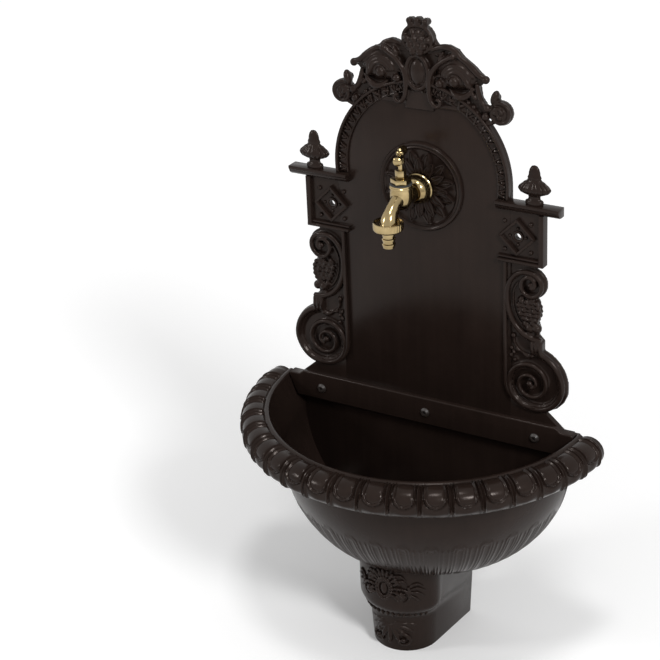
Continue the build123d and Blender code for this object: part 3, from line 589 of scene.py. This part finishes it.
ledge = bmesh.new()
ledge_profile = [(plate_back + 0.4, box_top), (19.0, box_top), (22.0, 541.8), (24.6, 544.0), (25.6, 546.6),
                 (25.8, 547.6), (27.0, 548.0), (27.0, ledge_top), (plate_back + 0.4, ledge_top)]
end_face = ledge.faces.new([ledge.verts.new((field_half - 1.0, -d, z)) for d, z in ledge_profile])
run = bmesh.ops.extrude_face_region(ledge, geom=[end_face])["geom"]
bmesh.ops.translate(ledge, vec=(ledge_end - field_half + 1.0, 0, 0), verts=verts_in(run))
round_edges(ledge, [e for e in ledge.edges if e.calc_face_angle(0) > 0.6], 0.7)
add_form(half_plate, ledge, as_drawn)
for k in range(11):
    x = field_half + 5.0 + 6.4 * k
    drop(half_plate, on_plate(x, 541.6, 20.0), on_plate(x + 2.4, 547.6, 25.4), 4.4, (0, -1, -0.6), 1.6, 8, 6)

rib_near, rib_far = 100.6, 104.6
rib_outer = [(rib_near, box_foot + 3.0)] + round_points(lower_eye, lower_eye[0] - rib_near, 180, 285, 24)
rib_inner = round_points(lower_eye, lower_eye[0] - rib_far, 285, 180, 24) + [(rib_far, box_foot + 3.0)]
slab(half_plate, rib_outer + rib_inner, field_front - 2.0, frame_front - 0.8, 1.1, 3)

# Scroll wings: cast in one with the plate on each side of its field, the left one a mirror image.
# Each has a large spiral below, and a stepped band that curls into a small spiral above.
# A bunch of grapes hangs between the two.
wing = bmesh.new()
ground = [(103.0, box_foot + 2.0), (103.0, lower_eye[1])] + round_points(lower_eye, 29.3, 180, 262, 14)
ground += [round_points(lower_eye, reach, turn, turn, 1)[0]
           for turn, reach in ((275, 32.5), (290, 35.5), (305, 38.5), (320, 41.4), (335, 43.4))]
ground += round_points(lower_eye, 44.4, 348, 432, 16)
ground += [(147.0, 379.0), (147.4, 390.0), (141.0, 396.0), (143.5, 404.0), (140.0, 414.0), (142.0, 424.0),
           (142.5, 436.0), (138.5, 442.0)]
ground += round_points(upper_eye, 18.4, -60, 70, 12) + [(134.0, box_foot + 2.0)]
slab(wing, ground, plate_back, field_front - 2.0, 0.8)


def spiral(middle, line, depth, thick, thin, inset=0.0, step=15):
    """A bead that winds inwards, seen from the front: its radius by degrees clockwise from the right."""
    start, end = line[0][0], line[-1][0]
    count = int((end - start) / step)
    points, radii = [], []
    for k in range(count + 1):
        share = k / count
        turn = start + (end - start) * share
        (low, near), (high, far) = [pair for pair in zip(line, line[1:]) if pair[0][0] <= turn + 0.001][-1]
        reach = near + (far - near) * (turn - low) / (high - low) - inset
        angle = math.radians(-turn)
        x, z = middle[0] + reach * math.cos(angle), middle[1] + reach * math.sin(angle)
        points.append(on_plate(x, z, depth + 2.0 * share))
        radii.append(thick + (thin - thick) * share)
    return points, radii


lower_line = [(-75, 40.5), (0, 39.2), (45, 35.5), (90, 30), (180, 25.4), (270, 23.5), (360, 20), (450, 16),
              (540, 13), (630, 10.2), (720, 7.6), (800, 5.0)]
bead(wing, *spiral(lower_eye, lower_line, field_front + 0.9, 3.6, 2.0), sides=3, run=3)
bead(wing, *spiral(lower_eye, lower_line[:7], field_front - 0.6, 1.1, 0.9, 5.2), sides=1, run=3)
berry(wing, *lower_eye, 2.0, 4.0)
slab(wing, oblong(133.0, 374.0, 147.6, 390.0), plate_back, frame_front - 1.0, 1.4, 3)
for x in (135.6, 140.2, 144.8):
    step_rib = [on_plate(x, z, frame_front + rise)
                for z, rise in ((376.0, -0.8), (382.0, 0.0), (389.0, -0.8))]
    bead(wing, step_rib, [1.2, 1.6, 1.4])
band = [(146, 391), (131, 393.5), (117, 403), (108, 418), (104.5, 436), (106, 452), (112, 463), (121, 470),
        (132, 471.3), (142, 467), (146.3, 457.5), (142, 447), (132.5, 443.2), (124, 448), (121.8, 457),
        (126, 464), (133, 465.5), (138, 460), (137, 454), (132.3, 453)]
bead(wing, [on_plate(x, z, field_front + 1.2 + 0.08 * k) for k, (x, z) in enumerate(band)],
     [3.6 - 0.07 * k for k in range(len(band))], sides=3, run=4)
berry(wing, 133.0, 457.0, 2.0, 3.4)
vine(wing, [(133, 400), (122, 408), (114.5, 420), (111.5, 436), (113, 449), (118, 458)], 0.6, 1.3)
for row, (z, start, end) in enumerate(((436.0, 122.0, 140.5), (431.0, 118.5, 142.8), (426.0, 119.5, 143.2),
                                       (421.0, 121.5, 142.6), (416.0, 124.5, 140.5))):
    count = int((end - start) / 5.0) + 1
    for k in range(count):
        x = start + (end - start) * (k / max(1, count - 1))
        berry(wing, x, z, 1.8 + 0.8 * ((k + row) % 2), 3.0, 10, 8)
        berry(wing, x, z, -3.0, 3.0, 10, 8)


def frond(bm, start, end, width, height):
    """A leaf on the plate between two points, each by its place and its rise in front of the field."""
    start, end = (on_plate(x, z, field_front + rise) for x, z, rise in (start, end))
    drop(bm, start, end, width, (0, -1, 0), height)


frond(wing, (129.0, 441.5, 0.0), (141.0, 434.5, 0.0), 6.5, 4.2)
frond(wing, (125.0, 442.0, 0.0), (117.5, 435.0, 0.0), 5.5, 3.8)
for x, z, radius in ((132.5, 405.0, 5.4), (140.6, 405.5, 5.6), (136.5, 411.5, 4.8), (127.0, 409.5, 3.8)):
    berry(wing, x, z, 0.6, radius)
twig = ((120, 402.5, 0.0), (128, 397.5, 0.6), (138, 398.5, 0.0))
bead(wing, [on_plate(x, z, field_front + rise) for x, z, rise in twig], [1.0, 2.0, 1.0])
vine(wing, [(112, 391), (114, 381), (122, 373.5), (132, 372)], 0.4, [1.7, 1.5, 1.4, 1.2])
for x, z in ((109.5, 376), (112.5, 371), (109, 367), (113.5, 362), (117, 375.5)):
    berry(wing, x, z, 0.3, 2.5, 10, 8)
frond(wing, (123, 372, 0.0), (134, 368, 0.0), 5.0, 3.0)
berry(wing, 134.5, 371.5, 0.6, 3.2, 10, 8)
berry(wing, 112, 392, 0.6, 3.2, 10, 8)
add_form(plate, fuse(wing, 1.0, 2), as_drawn, as_mirrored)
add_form(plate, half_plate, as_drawn, as_mirrored)
put(plate, "plate_casting", "fountain", "cast_aluminium", bronze_paint, "back_plate", sharp=40.0)

# Crest: the carved head of the plate, cast in one with it, mirrored about a beaded cartouche.
# A basket of berries stands in the middle, with leaf scrolls rolling down to a flower on each side.
crest = bmesh.new()
side_outline = [(0, 726), (17, 722), (23, 712), (35, 715.5), (46, 711.5), (52, 704.5), (64, 696.5),
                (73, 688.5), (80, 683), (72, 674), (74, 662), (82, 651), (84, 640), (72, 637),
                (60, 640), (30, 655), (0, 660)]
slab(crest, side_outline, plate_back, field_front - 1.0, 1.2)
upper_roll = [(17, 709.5), (27.5, 713.5), (37, 714), (46, 710), (52, 703.5)]
vine(crest, upper_roll, 1.8, [2.6, 3.2, 3.6, 3.4, 2.8], sides=3)
outer_roll = [(44, 706), (54, 702.5), (64.3, 695), (73, 687.5), (80.3, 685)]
vine(crest, outer_roll, 1.6, [1.6, 3.2, 3.8, 3.6, 3.0], sides=3)
berry(crest, 80.3, 683.7, 1.2, 4.6)


def dome(bm, middle, halves, around, rings):
    """A ball stretched to its half sizes."""
    bmesh.ops.create_uvsphere(bm, u_segments=around, v_segments=rings, radius=1.0,
                              matrix=Matrix.Translation(middle) @ Matrix.Diagonal((*halves, 1)))


dome(crest, on_plate(46, 686, field_front - 1.0), (25, 7.0, 17), 24, 14)
for reach in (10.0, 13.6, 17.2):
    vine(crest, round_points((46, 678.6), reach, 8, 172, 8), 7.4 - 0.16 * reach, [0.9] + [1.7] * 7 + [0.9])
berry(crest, 44.8, 678.4, 5.0, 6.4, 14, 10)
frond(crest, (55.5, 685, 3.0), (63.5, 671.5, 2.6), 8.4, 5.2)
berry(crest, 26, 673, 3.2, 5.0, 14, 10)
vine(crest, round_points((25, 673.5), 7.6, 0, 330, 11), 1.6, 1.6, closed=True)
hood_foot = ((38, 668.5, 2.0), (46, 662.4, 3.4), (55, 662, 3.4), (67, 673, 2.0))
bead(crest, [on_plate(x, z, field_front + rise) for x, z, rise in hood_foot], [1.4, 4.0, 4.4, 1.5], sides=3)
stalk = [(70.0, 678), (70.8, 673), (72.8, 665.6), (77.1, 657), (82, 653)]
vine(crest, stalk, 1.6, [2.2, 2.8, 3.2, 3.2, 2.6], sides=3)
berry(crest, 82, 653, 2.0, 4.6)
end_flower = (96.3, 648)
dome(crest, on_plate(*end_flower, plate_back + 4.0), (13.9, 6.6, 13.9), 28, 16)
slab(crest, round_points(end_flower, 13.6, 0, 345, 23), plate_back, plate_back + 4.0, 0.6)
coil = [(*round_points(end_flower, r, a, a, 1)[0], r) for a, r in
        ((130, 12.2), (80, 11.8), (30, 11.4), (-20, 10.9), (-70, 10.4), (-120, 9.6), (-170, 8.6), (-220, 7.4),
         (-270, 6.2), (-330, 4.6))]
bead(crest, [on_plate(x, z, field_front + 5.2 - 0.03 * r * r) for x, z, r in coil],
     [2.2] * 7 + [2.0, 1.9, 1.8])
for x, z in round_points(end_flower, 3.6, 40, 280, 2):
    berry(crest, x, z, 3.2, 3.4, 12, 8)
frond(crest, (87.5, 656, -1.0), (92.5, 673, -1.0), 9.4, 6.0)
slab(crest, round_points((90.3, 664.5), 4.8, 0, 330, 11), plate_back, field_front - 2.0, 0.8)
berry(crest, 80, 643, 1.6, 4.8)
vine(crest, [(62, 641), (72, 635), (82, 635.5), (90, 638)], 1.0, [1.4, 2.6, 2.8, 2.2])
scroll = [(42.3, 705.2), (31.8, 699.5), (21.8, 691), (15.6, 680.5), (14.2, 670.2), (14.6, 659.5),
          (17.3, 651.6), (23, 647.4), (27.6, 650.6), (26.6, 655.4), (23, 655.4)]
bead(crest, [on_plate(x, z, field_front + 4.4 + 0.24 * k) for k, (x, z) in enumerate(scroll)],
     [2.4, 2.9, 3.0, 3.0, 2.9, 2.8, 2.6, 2.4, 2.2, 2.0, 1.8], sides=3)
berry(crest, 42.3, 705, 4.0, 3.6)
for start, end in (((24, 697), (31, 709)), ((31, 701), (43, 708)), ((58, 690), (68, 684)),
                   ((36, 657), (46, 656)), ((48, 650), (60, 655)), ((64, 668), (70, 660))):
    frond(crest, (*start, 2.0), (*end, 1.6), 5.0, 3.8)
for x, z in ((24.3, 660), (29, 657), (34, 662.5), (60, 656), (66, 652), (70, 646), (62, 647)):
    berry(crest, x, z, 1.8, 2.8, 10, 8)
side_mesh = bpy.data.meshes.new("side")
crest.to_mesh(side_mesh)
add_mesh(crest, side_mesh, as_mirrored)
bpy.data.meshes.remove(side_mesh)


def oval_points(level, wide, tall, count):
    """Points round an oval on the plate's middle line."""
    turns = [2 * math.pi * k / count for k in range(count)]
    return [(wide * math.cos(a), level + tall * math.sin(a)) for a in turns]


basket_level, oval_level = 719, 683
basket = oval_points(basket_level, 18.6, 16.6, 24)
slab(crest, basket, plate_back, field_front + 2.0, 1.4)
basket_edge = [(0.93 * x, basket_level + 0.93 * (z - basket_level)) for x, z in basket]
vine(crest, basket_edge, 3.2, 2.0, closed=True, run=2)
for row, (z, count) in enumerate(((706.5, 2), (712.6, 3), (719.2, 4))):
    for k in range(count):
        berry(crest, 8.2 * (k - (count - 1) / 2), z, 5.6 - 0.9 * row, 4.9 - 0.3 * row, 14, 10)
for x in (-9.0, 0.0, 9.0):
    frond(crest, (0.9 * x, 730.0, 1.6), (0.5 * x, 721.0, 2.4), 6.4, 3.4)
for x, z in ((-9.0, 737.4), (0, 738.6), (9.0, 737.8)):
    frond(crest, (0.8 * x, z - 8.0, 0.6), (1.1 * x, z + 5.4, 0.0), 8.8, 5.4)
    berry(crest, 1.05 * x, z + 1.6, 3.0, 3.6, 12, 8)
    slab(crest, round_points((x, z), 4.2, 0, 330, 11), plate_back + 0.6, field_front - 0.6, 0.8)
oval = oval_points(oval_level, 13.0, 18.8, 20)
slab(crest, oval, plate_back, field_front + 3.4, 0.8)
vine(crest, oval, 5.0, 2.5, closed=True, run=3)
dome(crest, on_plate(0, oval_level, field_front + 3.2), (9.6, 5.6, 15.2), 24, 14)
slab(crest, [(-18, 640), (18, 640), (14, 662), (-14, 662)], plate_back, field_front + 2.5, 1.0)
put(fuse(crest, 0.85, 2), "crest_carving", "fountain", "cast_aluminium", bronze_paint, sharp=60.0)

# Finials: two ribbed cast knobs on the ledges, each held by a stud from below.
# Each is half as deep as it is wide.
finial_x, finial_y = 137.0, 19.0
knob_profile = [(0.0, 0.0), (10.0, 0.0), (10.6, 1.2), (10.6, 3.8), (10.0, 5.0), (7.4, 6.2), (6.8, 8.5),
                (7.4, 11.0), (12.0, 12.4), (17.0, 14.6), (19.0, 17.4), (19.0, 18.6), (17.6, 21.0),
                (13.4, 24.4), (12.6, 25.4), (9.0, 27.4), (7.6, 29.6), (8.2, 31.0),
                (7.6, 32.4), (6.8, 34.0), (6.6, 37.0), (5.4, 41.0), (3.2, 44.0), (0.0, 45.0)]


def turned(bm, points, axis, origin, steps=48):
    """A turned form: radius and run along an axis from its origin."""
    axis = Vector(axis).normalized()
    side = axis.orthogonal().normalized()
    line = [bm.verts.new(Vector(origin) + axis * run + side * radius) for radius, run in points]
    held = [bm.edges.new((start, end)) for start, end in zip(line, line[1:])]
    bmesh.ops.spin(bm, geom=line + held, cent=origin, axis=axis, dvec=(0, 0, 0), angle=2 * math.pi,
                   steps=steps, use_merge=True, use_duplicate=False)
    bmesh.ops.remove_doubles(bm, verts=bm.verts, dist=0.001)


for side, node in ((-1, "left_finial"), (1, "right_finial")):
    knob = bmesh.new()
    turned(knob, knob_profile, (0, 0, 1), (0, 0, 0), 96)
    for v in knob.verts:
        reach = math.hypot(v.co.x, v.co.y)
        if reach > 11.0:
            ribs = abs(math.sin(8 * math.atan2(v.co.y, v.co.x)))
            share = 1.0 - 1.5 * (1.0 - ribs) ** 2 / reach
            v.co.x *= share
            v.co.y *= share
    on_ledge = Matrix.Translation((side * finial_x, -finial_y, ledge_top)) @ Matrix.Diagonal((1, 0.5, 1, 1))
    bmesh.ops.transform(knob, verts=knob.verts, matrix=on_ledge)
    put(knob, node + "_knob", "fountain", "cast_aluminium", bronze_paint, node, sharp=60.0)

# Rosette: a separate round casting behind the tap, held by the tap's collar.
# Two tiers of pointed petals lie inside three rings.
rose_level, rose_radius, petal_edge = 551.0, 52.0, 18.6
rosette = bmesh.new()
ring_profile = [(14.0, 18.3), (rose_radius, 18.3), (rose_radius, 20.6), (50.6, 22.4), (48.8, 22.4),
                (47.4, 20.9), (46.6, 21.0), (45.4, 22.0), (44.2, 21.0), (43.6, 20.2), (42.0, 20.0),
                (30.0, 19.8), (20.0, 20.2), (14.0, 20.4), (14.0, 18.3)]
turned(rosette, ring_profile, (0, -1, 0), (0, 0, rose_level), 96)


def petal(bm, turn, near, far, width, low, high):
    """A pointed petal with a raised middle and raised edges, laid outwards from the rosette's centre."""
    rows = []
    for k in range(9):
        share = k / 8
        reach = near + (far - near) * share
        half = width / 2 * math.sin(math.pi * min(1.0, 0.25 + 0.75 * share)) ** 0.8 if share < 1 else 0.02
        lift = low + (high - low) * math.sin(math.pi * min(share * 0.62 + 0.05, 1.0))
        row = []
        for across in (-1.0, -0.72, -0.4, 0.0, 0.4, 0.72, 1.0):
            depth = lift + 1.5 * (1 - abs(across)) ** 1.5 + (0.9 if abs(across) == 0.72 else 0.0)
            depth = depth if abs(across) < 1 else petal_edge
            angle = math.radians(turn)
            x = reach * math.cos(angle) - across * half * math.sin(angle)
            z = reach * math.sin(angle) + across * half * math.cos(angle)
            row.append(bm.verts.new(on_plate(x, rose_level + z, depth)))
        rows.append(row)
    for low_row, high_row in zip(rows, rows[1:]):
        for k in range(6):
            bm.faces.new((low_row[k], low_row[k + 1], high_row[k + 1], high_row[k]))
    bm.faces.new(rows[-1])
    bm.faces.new(list(reversed(rows[0])))
    border = [row[1].co for row in rows[1:-1]] + [rows[-1][3].co]
    border += [row[5].co for row in reversed(rows[1:-1])]
    bead(bm, [p + Vector((0, -0.2, 0)) for p in border], 0.75, sides=1, run=2)
    bead(bm, [row[3].co for row in rows[1:-1]], 0.8, sides=1, run=2)


for k in range(12):
    petal(rosette, 30 * k + 15, 22.0, 42.5, 13.0, 20.2, 22.6)
    petal(rosette, 30 * k, 15.0, 35.0, 12.0, 21.2, 24.6)
put(rosette, "rosette_casting", "fountain", "cast_aluminium", bronze_paint, "rosette", sharp=50.0)

# Tap: a half-inch garden tap in polished brass, screwed through the rosette and the plate.
# The body is one casting: inlet neck, globe and the spout that bends down to the hose union.
brass_dark, brass_light = (0.13, 0.088, 0.036), (0.50, 0.39, 0.205)
brass, shader, place = new_finish("brass", 1.0, 0.5)
wear = place.noise(60.0, 4.0)
wear.blend(brass_dark, brass_light).into(shader, "Base Color")
(0.10 + wear * 0.12).into(shader, "Roughness")
bump(place.noise(300.0, 3.0), 0.12, 0.0003, shader)
tap_level, tap_reach = 551.0, 65.0
body = bmesh.new()
neck = [(0.0, 0.0), (9.4, 0.0), (9.4, 22.0), (9.2, 27.0), (8.8, 31.5), (0.0, 31.5)]
turned(body, neck, (0, -1, 0), (0, -26.0, tap_level), 40)
globe = [(0.0, -10.5), (5.0, -9.8), (8.6, -7.4), (10.8, -3.6), (12.2, 1.0), (12.8, 6.0), (12.6, 11.0),
         (12.2, 14.0), (12.4, 15.0), (13.2, 15.4), (13.2, 16.8), (12.6, 17.4), (12.6, 18.2), (12.0, 19.0),
         (0.0, 19.0)]
turned(body, globe, (0, 0, 1), (0, -tap_reach, tap_level), 56)
spout = [(-72.6, 554.4), (-80.0, 551.0), (-87.5, 545.5), (-92.6, 539.5), (-95.5, 531.0)]
bead(body, [(0, y, z) for y, z in spout], [8.2, 7.4, 7.8, 9.0, 10.2], sides=8, run=10)
put(body, "tap_casting", "fountain", "brass", brass, "tap_body", sharp=35.0)

# Tap collar: the bell-shaped brass flange that holds the rosette against the plate.
# It sits on the tap's neck, in front of the rosette.
collar = bmesh.new()
bell = [(9.5, 24.2), (16.6, 24.2), (17.3, 25.2), (17.3, 26.8), (16.4, 27.8), (16.0, 28.6), (15.8, 31.6),
        (15.0, 35.0), (13.4, 38.0), (11.6, 39.8), (10.4, 40.4), (9.5, 39.6)]
turned(collar, bell, (0, -1, 0), (0, 0, tap_level), 64)
put(collar, "tap_flange", "fountain", "brass", brass, "tap_collar", sharp=35.0)

# Bonnet and gland nut: two brass hexagons turned from bar, on top of the tap's globe.
# The bonnet closes the globe, and the gland nut closes the packing round the spindle.
def hexagon(width, low, high, edge):
    """An upright hexagon on the spindle, with its edges rounded."""
    bm = bmesh.new()
    radius = width / math.sqrt(3)
    bmesh.ops.create_cone(bm, cap_ends=True, segments=6, radius1=radius, radius2=radius, depth=high - low,
                          matrix=Matrix.Translation((0, -tap_reach, (low + high) / 2)))
    round_edges(bm, bm.edges, edge)
    return bm


put(hexagon(20.0, 571.0, 577.0, 0.6), "bonnet_hexagon", "fountain", "brass", brass, "bonnet", sharp=30.0)
put(hexagon(11.0, 577.3, 586.3, 0.5), "gland_hexagon", "fountain", "brass", brass, "gland_nut", sharp=30.0)

# Tap handle: a cast brass tee on the spindle's square, held by a small screw.
# It rides the stem, which turns and rises with the valve.
handle_level, handle_yaw = 602.5, math.radians(20.0)
handle = bmesh.new()
arm = [(0.0, -22.0), (2.6, -21.6), (4.8, -19.8), (5.5, -17.0), (5.1, -14.2), (3.9, -11.4), (3.2, -8.6),
       (3.4, -5.0), (4.6, 0.0)]
arm += [(r, -run) for r, run in reversed(arm[:-1])]
turned(handle, arm, (math.sin(handle_yaw), -math.cos(handle_yaw), 0), (0, -tap_reach, handle_level), 32)
hub = [(2.7, 594.4), (4.6, 594.4), (5.0, 595.4), (4.6, 599.0), (4.6, 606.6), (4.0, 607.8), (0.0, 607.8)]
turned(handle, hub, (0, 0, 1), (0, -tap_reach, 0), 32)
put(handle, "tee_handle", "stem", "brass", brass, "tap_handle", sharp=35.0)

# Union nut: the knurled brass ring that clamps the hose tail to the spout.
# It is turned by hand, so its rim is cut with fine grooves.
outlet_reach, grooves = 95.5, 32
union = bmesh.new()
union_line = [(8.2, 527.0), (14.4, 527.0), (15.8, 527.8), (16.6, 529.2), (16.9, 530.2), (16.9, 535.6),
              (16.5, 536.8), (15.8, 537.3), (15.0, 537.0), (14.4, 535.6), (9.0, 535.2)]
turned(union, union_line, (0, 0, 1), (0, -outlet_reach, 0), 128)
for v in union.verts:
    out = Vector((v.co.x, v.co.y + outlet_reach, 0))
    if out.length > 16.7:
        cut = 0.35 * (1 + math.cos(grooves * math.atan2(out.y, out.x)))
        v.co -= out.normalized() * cut
put(union, "union_ring", "fountain", "brass", brass, "union_nut", sharp=35.0)

# Hose tail: a brass spigot with three ridges that grip the hose.
# The union nut holds it under the spout.
tail = bmesh.new()
tail_line = [(4.6, 507.5), (6.4, 507.5)]
for k in range(3):
    low = 508.4 + 6.0 * k
    tail_line += [(6.5, low), (7.6, low + 3.0), (7.6, low + 3.8), (6.4, low + 4.6)]
tail_line += [(6.4, 529.4), (4.6, 529.4), (4.6, 507.5)]
turned(tail, tail_line, (0, 0, 1), (0, -outlet_reach, 0), 48)
put(tail, "hose_spigot", "fountain", "brass", brass, "hose_tail", sharp=35.0)

# Strip screws: three domed button heads with a hexagon socket, in dark paint.
# They hold the plate's foot to the back wall of the bowl.
dark_screw, shader, place = new_finish("dark_screw", 0.0, 0.5)
spots = place.noise(400.0, 3.0)
spots.blend((0.014, 0.011, 0.010), (0.032, 0.025, 0.022)).into(shader, "Base Color")
(0.28 + spots * 0.12).into(shader, "Roughness")
bump(spots, 0.15, 0.0002, shader)
def paint_node(name, material):
    """Gives a CAD node its finish."""
    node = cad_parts[name]
    node.data.materials.clear()
    node.data.materials.append(material)


paint_node("strip_screws", dark_screw)

# Nuts, washers and console screws: zinc-plated steel.
# The console screws go down through the bowl's floor, and the strip's nuts sit behind its back wall.
zinc_steel, shader, place = new_finish("zinc_steel", 1.0, 0.5)
plating = place.noise(150.0, 4.0)
plating.blend((0.45, 0.45, 0.47), (0.64, 0.63, 0.60)).into(shader, "Base Color")
(0.30 + plating * 0.16).into(shader, "Roughness")
bump(plating, 0.15, 0.0002, shader)
for name in ("strip_washers", "strip_nuts", "console_screws", "console_washers", "console_nuts"):
    paint_node(name, zinc_steel)

# Drain: a dull brass flange in the bowl's floor, with its nut below.
# A cross in its mouth keeps leaves out of the pipe.
drain_brass, shader, place = new_finish("drain_brass", 1.0, 0.5)
stain = place.noise(90.0, 5.0)
stain.blend((0.30, 0.22, 0.10), (0.52, 0.40, 0.19)).into(shader, "Base Color")
(0.34 + stain * 0.18).into(shader, "Roughness")
bump(stain, 0.2, 0.0003, shader)
for name in ("drain_flange", "drain_nut"):
    paint_node(name, drain_brass)

# Seals, gasket, packing and the two washers: black rubber.
# They lie at the joints of the tap and under the drain's flange.
rubber, shader, place = new_finish("rubber", 0.0, 0.3)
dust = place.noise(200.0, 4.0)
dust.blend((0.022, 0.022, 0.022), (0.045, 0.045, 0.045)).into(shader, "Base Color")
(0.62 + dust * 0.2).into(shader, "Roughness")
bump(dust, 0.2, 0.0003, shader)
for name in ("drain_seal", "inlet_seal", "bonnet_gasket", "gland_packing", "valve_washer", "hose_washer"):
    paint_node(name, rubber)

# Spindle, valve jumper, lock nut and handle screw: the same brass as the tap's body.
# The lock nut sits behind the plate, and the others share the handle's axis.
for name in ("spindle", "valve_jumper", "inlet_locknut", "handle_screw"):
    paint_node(name, brass)

# Studio: a white floor that keeps the fountain's soft shadow, deepened round its foot by painted shade, under
# three square lamps.
floor_mesh = bpy.data.meshes.new("floor")
floor_bm = bmesh.new()
bmesh.ops.create_grid(floor_bm, x_segments=1, y_segments=1, size=12.0)
floor_bm.to_mesh(floor_mesh)
floor_bm.free()
paper = bpy.data.materials.new("paper")
paper.use_nodes = True
tree = paper.node_tree
shader = tree.nodes["Principled BSDF"]
shader.inputs["Roughness"].default_value = 0.9
shader.inputs["Specular IOR Level"].default_value = 0.1
place = Shade(tree).node("ShaderNodeTexCoord", {}, {}, "Object")
grain = place.noise(300.0, 2.0)
grain.blend((0.93, 0.93, 0.93), (0.97, 0.97, 0.97)).into(shader, "Base Color")


def seen_as_white(tree):
    """One for rays from the camera, reflections and views through glass, and nothing for other light."""
    kinds = ("Camera", "Glossy", "Transmission")
    seen = [Shade(tree).node("ShaderNodeLightPath", {}, {}, "Is %s Ray" % kind) for kind in kinds]
    return seen[0].math("MAXIMUM", seen[0].math("MAXIMUM", seen[0], seen[1]), seen[2])


# A camera-ray glow lifts the far floor to white and grows weaker towards the fountain, so the floor round its
# foot stays darker: painted shade on top of the lamps' shadow.
reach = place.node("ShaderNodeVectorMath", {"operation": "LENGTH"}, {0: place}, "Value")
floor_white_with_painted_shade = reach.math("MINIMUM", reach * 0.24 + 0.03, 0.5) * seen_as_white(tree)
floor_white_with_painted_shade.blend((0, 0, 0), (1, 1, 1)).into(shader, "Emission Color")
shader.inputs["Emission Strength"].default_value = 1.0
floor_mesh.materials.append(paper)
floor = bpy.data.objects.new("floor", floor_mesh)
bpy.context.scene.collection.objects.link(floor)


def soft_light(name, middle, target, size, power):
    """A square lamp turned to a point."""
    lamp = bpy.data.lights.new(name, "AREA")
    lamp.shape = "SQUARE"
    lamp.size = size
    lamp.energy = power
    holder = bpy.data.objects.new(name, lamp)
    bpy.context.scene.collection.objects.link(holder)
    aim = (Vector(target) - Vector(middle)).to_track_quat("-Z", "Y")
    holder.matrix_world = Matrix.Translation(middle) @ aim.to_matrix().to_4x4()


soft_light("key", (2.4, -1.6, 2.4), (0.0, -0.1, 0.35), 0.7, 72.0)
soft_light("fill", (-2.0, -1.7, 1.5), (0.0, -0.1, 0.35), 0.45, 16.0)
soft_light("top", (0.4, -0.7, 2.7), (0.0, -0.1, 0.3), 0.4, 16.0)
world = bpy.data.worlds.new("studio")
bpy.context.scene.world = world
world.use_nodes = True
tree = world.node_tree
strength = seen_as_white(tree) * 0.58 + 0.42
tree.links.new(strength.socket, tree.nodes["Background"].inputs[1])
tree.nodes["Background"].inputs[0].default_value = (1, 1, 1, 1)

# Camera, where the photographer stood: above the bowl's height and to the right of the fountain.
camera_data = bpy.data.cameras.new("camera")
camera_data.sensor_width = 36.0
camera_data.lens = 36.0 * 1937.865 / 660.0
camera_data.clip_end = 50.0
camera = bpy.data.objects.new("camera", camera_data)
bpy.context.scene.collection.objects.link(camera)
azimuth, elevation, roll = (math.radians(a) for a in (31.86, 25.386, -2.667))
camera_back = Vector((math.sin(azimuth) * math.cos(elevation), -math.cos(azimuth) * math.cos(elevation),
                      math.sin(elevation)))
camera_right = Vector((math.cos(azimuth), math.sin(azimuth), 0.0))
camera_up = camera_back.cross(camera_right)
turned_right = camera_right * math.cos(roll) + camera_up * math.sin(roll)
turned_up = camera_up * math.cos(roll) - camera_right * math.sin(roll)
camera.matrix_world = Matrix.Translation((0.9621, -1.7721, 1.3284)) @ Matrix(
    (turned_right, turned_up, camera_back)).transposed().to_4x4()
bpy.context.scene.camera = camera
bpy.context.scene.view_settings.view_transform = "Standard"
